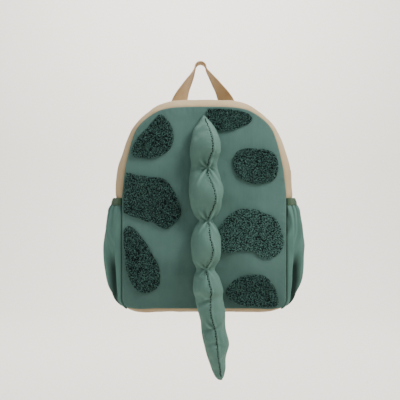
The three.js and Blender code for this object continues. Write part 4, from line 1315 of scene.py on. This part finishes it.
# Back panel
def back_padding(x, z, share):
    """How far the quilted back stands short of its face."""
    edge_drop = 5 * np.clip((share - 0.9) / 0.1, 0, 1) ** 1.6
    channel = 0
    for place in (-38, 38):
        bow = place * (1 + 0.12 * np.sin(math.pi * z / PANEL_HEIGHT))
        channel = channel + 3.2 * bump(x - bow, 3.5)
    for up in (0.3, 0.66):
        channel = channel + 3.2 * bump(z - up * PANEL_HEIGHT, 3.5) * (np.abs(x) < 39)
    ditch = 2.4 * bump(share - 0.955, 0.012)
    soft = 0.4 * (1 + waves(131, 40, x, z))
    return np.minimum(edge_drop + np.minimum(channel, 3.6) + ditch + soft, BACK_PAD - 1.2)


def back_panel():
    rings = []
    for share, lift in ((0, 0), (0.4, 0), (0.8, 0), (0.97, 0), (1, 0.6)):
        x, z = panel_ring(share)
        rings.append(xyz(x, BACK_INNER + lift, z))
    hem = [1.0, 0.997, 0.99, 0.982, 0.974, 0.966, 0.958, 0.95, 0.942, 0.93, 0.915]
    for share in np.concatenate([hem, np.linspace(0.9, 0, 38)]):
        x, z = panel_ring(share)
        rings.append(xyz(x, BACK_FACE - back_padding(x, z, share), z))
    obj = piece(disc_mesh("back_panel_padded", rings), "body", "body_cloth", "back_panel")


# Shoulder straps
def strap_low():
    lean = math.radians(STRAP_LEAN)
    foot = BUCKLE_UP + BUCKLE_BAR + BUCKLE_SLOT + BUCKLE_BAR / 2 + PAD_TAB
    return STRAP_FOOT_ACROSS - foot * math.sin(lean), STRAP_FOOT_UP + foot * math.cos(lean)


SEAT = BACK_FACE + SEAM_GAP
PAD_SEAT = SEAT + PAD_THICK / 2
BUCKLE_BACK = PAD_SEAT + PAD["away"][0] * PAD_ARCH


def shoulder_pad(sign, name):
    low_x, low_z = strap_low()
    line = xyz(sign * lerp(PAD_TOP_ACROSS, low_x, np.array(PAD["across"])),
               PAD_SEAT + np.array(PAD["away"]) * PAD_ARCH,
               lerp(low_z, PANEL_HEIGHT - PAD_TOP_DROP, np.array(PAD["up"])))
    s = along(line)
    at = np.linspace(0, s[-1], 120)
    path = smooth_line(line, s, at)
    width = smooth(s, PAD["width"], at) * PAD_WIDTH
    ahead = unit(np.gradient(path, axis=0))
    side = unit(xyz(ahead[:, 2], 0, -ahead[:, 0]))
    away = np.cross(ahead, side)
    across = np.sin(np.linspace(-0.5, 0.5, 34) * math.pi)
    plump = (1 - across ** 8) ** 0.5
    hem = 1 - 0.5 * bump(1 - np.abs(across), 0.02) - 0.35 * bump(1 - np.abs(across) - 0.12, 0.03)
    level = np.maximum(0.12, plump * hem)
    section = two_faces(across, level)
    soft = 1 - 0.1 * (1 + waves(141, 26, at)) * 0.5
    thick = PAD_THICK / 2 * soft
    rings = (path[:, None, :] + side[:, None, :] * (section[None, :, :1] * width[:, None, None] / 2)
             - away[:, None, :] * (section[None, :, 1:] * thick[:, None, None]))
    seam = np.abs(section[:, 0]) > 0.85
    pins = np.tile(np.where(seam | (section[:, 1] < 0), 1.0, 0.0), (len(at), 1))
    pins[:4] = 1
    pins[-4:] = 1
    rings = inflate(rings, pins, 4.0, -0.03, 1.4)
    inward = 1 - np.abs(section[:, 0])
    # Lighter at the edges; darker along the groove by the stitched hem: painted shade.
    wear_and_shading = np.tile(0.5 * bump(inward, 0.03) - 0.6 * bump(inward - 0.12, 0.02), (len(at), 1))
    obj = piece(tube_mesh(f"shoulder_pad_{name}_padded", rings, wear_and_shading), "body", "body_cloth",
                f"shoulder_pad_{name}")
    for edge, edge_name in ((-1, "inner"), (1, "outer")):
        near = int(np.argmin(np.abs(across - edge * 0.87)))
        for k, normal, face_name in ((near, -away, "near"), (len(section) - 1 - near, away, "far")):
            stitches(f"shoulder_pad_{name}_{edge_name}_{face_name}_stitches", rings[2:-2, k], normal[2:-2],
                     "pad", "thread", "body_cloth")


def half_turn(centre, upward):
    clear = BUCKLE_BAR * math.sqrt(0.5) + SEAM_GAP
    radius = clear / math.cos(math.radians(22.5)) + STRAP_THICK / 2
    turns = np.radians(np.arange(-90, 91, 15))
    return [(BUCKLE_BACK + radius * math.sin(t), centre + upward * radius * math.cos(t)) for t in turns]


def strap_ribbon(name, sign, line, node_name):
    """A ribbon in the lower strap's frame, turned to the strap's lean."""
    line = np.array(line)
    s = along(line)
    at = np.linspace(0, s[-1], max(40, int(s[-1] / 1.2)))
    y, z = smooth_line(line, s, at).T
    path = xyz(0, y, z)
    rings = ribbon_rings(path, np.broadcast_to([1.0, 0, 0], path.shape), STRAP_WIDTH, STRAP_THICK)
    piece(tube_mesh(name, lean_over(rings, sign), band_wear(rings)), "webbing", "webbing", node_name)


def lean_over(points, sign):
    lean = math.radians(STRAP_LEAN)
    x, y, z = points[..., 0], points[..., 1], points[..., 2]
    across = x * math.cos(lean) - sign * z * math.sin(lean)
    up = sign * x * math.sin(lean) + z * math.cos(lean)
    return xyz(across + sign * STRAP_FOOT_ACROSS, y, up + STRAP_FOOT_UP)


def strap_pieces(sign, name):
    lying = SEAT + STRAP_THICK / 2
    turn = half_turn(BUCKLE_UP, 1)
    foot = [(lying, share * BUCKLE_UP) for share in (0, 0.1, 0.2)]
    rise = [(lerp(lying, turn[0][0], share), BUCKLE_UP * place)
            for share, place in ((0.08, 0.3), (0.6, 0.5), (0.95, 0.68))]
    free = [(turn[-1][0] + 2 * share, BUCKLE_UP - share * STRAP_TAIL) for share in (0.2, 0.5, 0.8, 1)]
    strap_ribbon(f"strap_{name}_ribbon", sign, foot + rise + turn + free, f"strap_webbing_{name}")
    pitch = BUCKLE_BAR + BUCKLE_SLOT
    end = BUCKLE_UP + pitch + BUCKLE_BAR / 2 + PAD_TAB - 2 * SEAM_GAP
    turn = half_turn(BUCKLE_UP + pitch, -1)
    tab = [(turn[0][0], end)] + turn + [(turn[-1][0], end)]
    strap_ribbon(f"pad_tab_{name}_ribbon", sign, tab, f"pad_tab_{name}")
    centre, zero, across, up = lean_over(
        np.array([[0, lying + 0.7, 7], [0, 0, 0], [1, 0, 0], [0, 0, 1]]), sign)
    box_stitch(f"strap_{name}_stitches", centre, across - zero, up - zero, 15, 9)


def carried_over():
    """CAD pieces that stay: rounded edges and a material of their own."""
    for name in ("buckle_right", "buckle_left", "zip_slider"):
        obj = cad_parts[name]
        obj.data.materials.clear()
        obj.data.materials.append(MATERIALS["hardware"])
        rounded = obj.modifiers.new("rounded", "BEVEL")
        rounded.width = 0.5 * MM
        rounded.segments = 3
        rounded.limit_method = "ANGLE"
        rounded.angle_limit = math.radians(35)


# Floor, backdrop, light and camera, in metres
FLOOR_Z = -0.8
WALL_Y = 3.2
SWEEP = 0.9
CAMERA_PLACE = (-0.0008, -0.960, -0.2096)
CAMERA_LENS = 56.16
LIGHTS = [
    ("key", (0.9, -0.75, 0.85), (0, 0, -0.15), (0.65, 0.65), 28, (1, 0.98, 0.94)),
    ("fill", (-1.7, -1.5, 0.7), (0, 0, -0.2), (1.6, 1.6), 14, (0.97, 0.99, 1)),
    ("wall", (0.0, 1.0, 1.9), (0, WALL_Y, -0.3), (3.0, 1.0), 250, (1, 0.98, 0.95)),
]


def stage():
    profile = [(-3.0, FLOOR_Z)]
    for turn in np.radians(np.linspace(0, 90, 13)):
        profile.append((WALL_Y - SWEEP * (1 - math.sin(turn)), FLOOR_Z + SWEEP * (1 - math.cos(turn))))
    profile.append((WALL_Y, 3.0))
    points = [(x, y, z) for y, z in profile for x in (-5.0, 5.0)]
    faces = grid_faces(len(profile), 2, False)
    mesh = bpy.data.meshes.new("sweep")
    mesh.from_pydata(points, [], faces)
    mesh.shade_smooth()
    material, tree, shader = new_material("pale paper")
    cloudy = noise(tree, places_of(tree), 1.2, 2)
    linked(tree, mixed(tree, cloudy, srgb(228, 223, 215), srgb(233, 228, 221)), shader, "Base Color")
    shader.inputs["Roughness"].default_value = 0.9
    mesh.materials.append(material)
    add_object("sweep", mesh)


def area_light(name, place, aim, size, power, tint):
    light = bpy.data.lights.new(name, "AREA")
    light.shape = "RECTANGLE"
    light.size, light.size_y = size
    light.energy = power
    light.color = tint
    obj = add_object(name, light)
    obj.location = place
    direction = np.array(aim) - np.array(place)
    yaw = math.atan2(direction[0], -direction[1])
    pitch = math.atan2(math.hypot(direction[0], direction[1]), -direction[2])
    obj.rotation_euler = (pitch, 0, yaw + math.pi)


def lights():
    for light in LIGHTS:
        area_light(*light)
    world = bpy.data.worlds.new("soft")
    world.use_nodes = True
    background = world.node_tree.nodes["Background"]
    background.inputs["Color"].default_value = (0.9, 0.93, 0.96, 1)
    background.inputs["Strength"].default_value = 0.33
    bpy.context.scene.world = world


def camera():
    data = bpy.data.cameras.new("view")
    data.sensor_width = 36
    data.lens = CAMERA_LENS
    obj = add_object("view", data)
    obj.location = CAMERA_PLACE
    obj.rotation_euler = (math.pi / 2, 0, 0)
    bpy.context.scene.camera = obj


stage()
lights()
camera()
front_panel()
gusset_upper("gusset_upper_front", 0, ZIP_MOUTH[0], True)
gusset_upper("gusset_upper_back", ZIP_MOUTH[1], 1, False)
gusset_lower()
zip_pieces()
for side_sign, side_name in ((1, "right"), (-1, "left")):
    pocket(side_sign, side_name)
    pocket_band(side_sign, side_name)
    shoulder_pad(side_sign, side_name)
    strap_pieces(side_sign, side_name)
tail()
for index, row in enumerate(PATCHES, 1):
    patch(index, *row)
carry_loop()
back_panel()
carried_over()
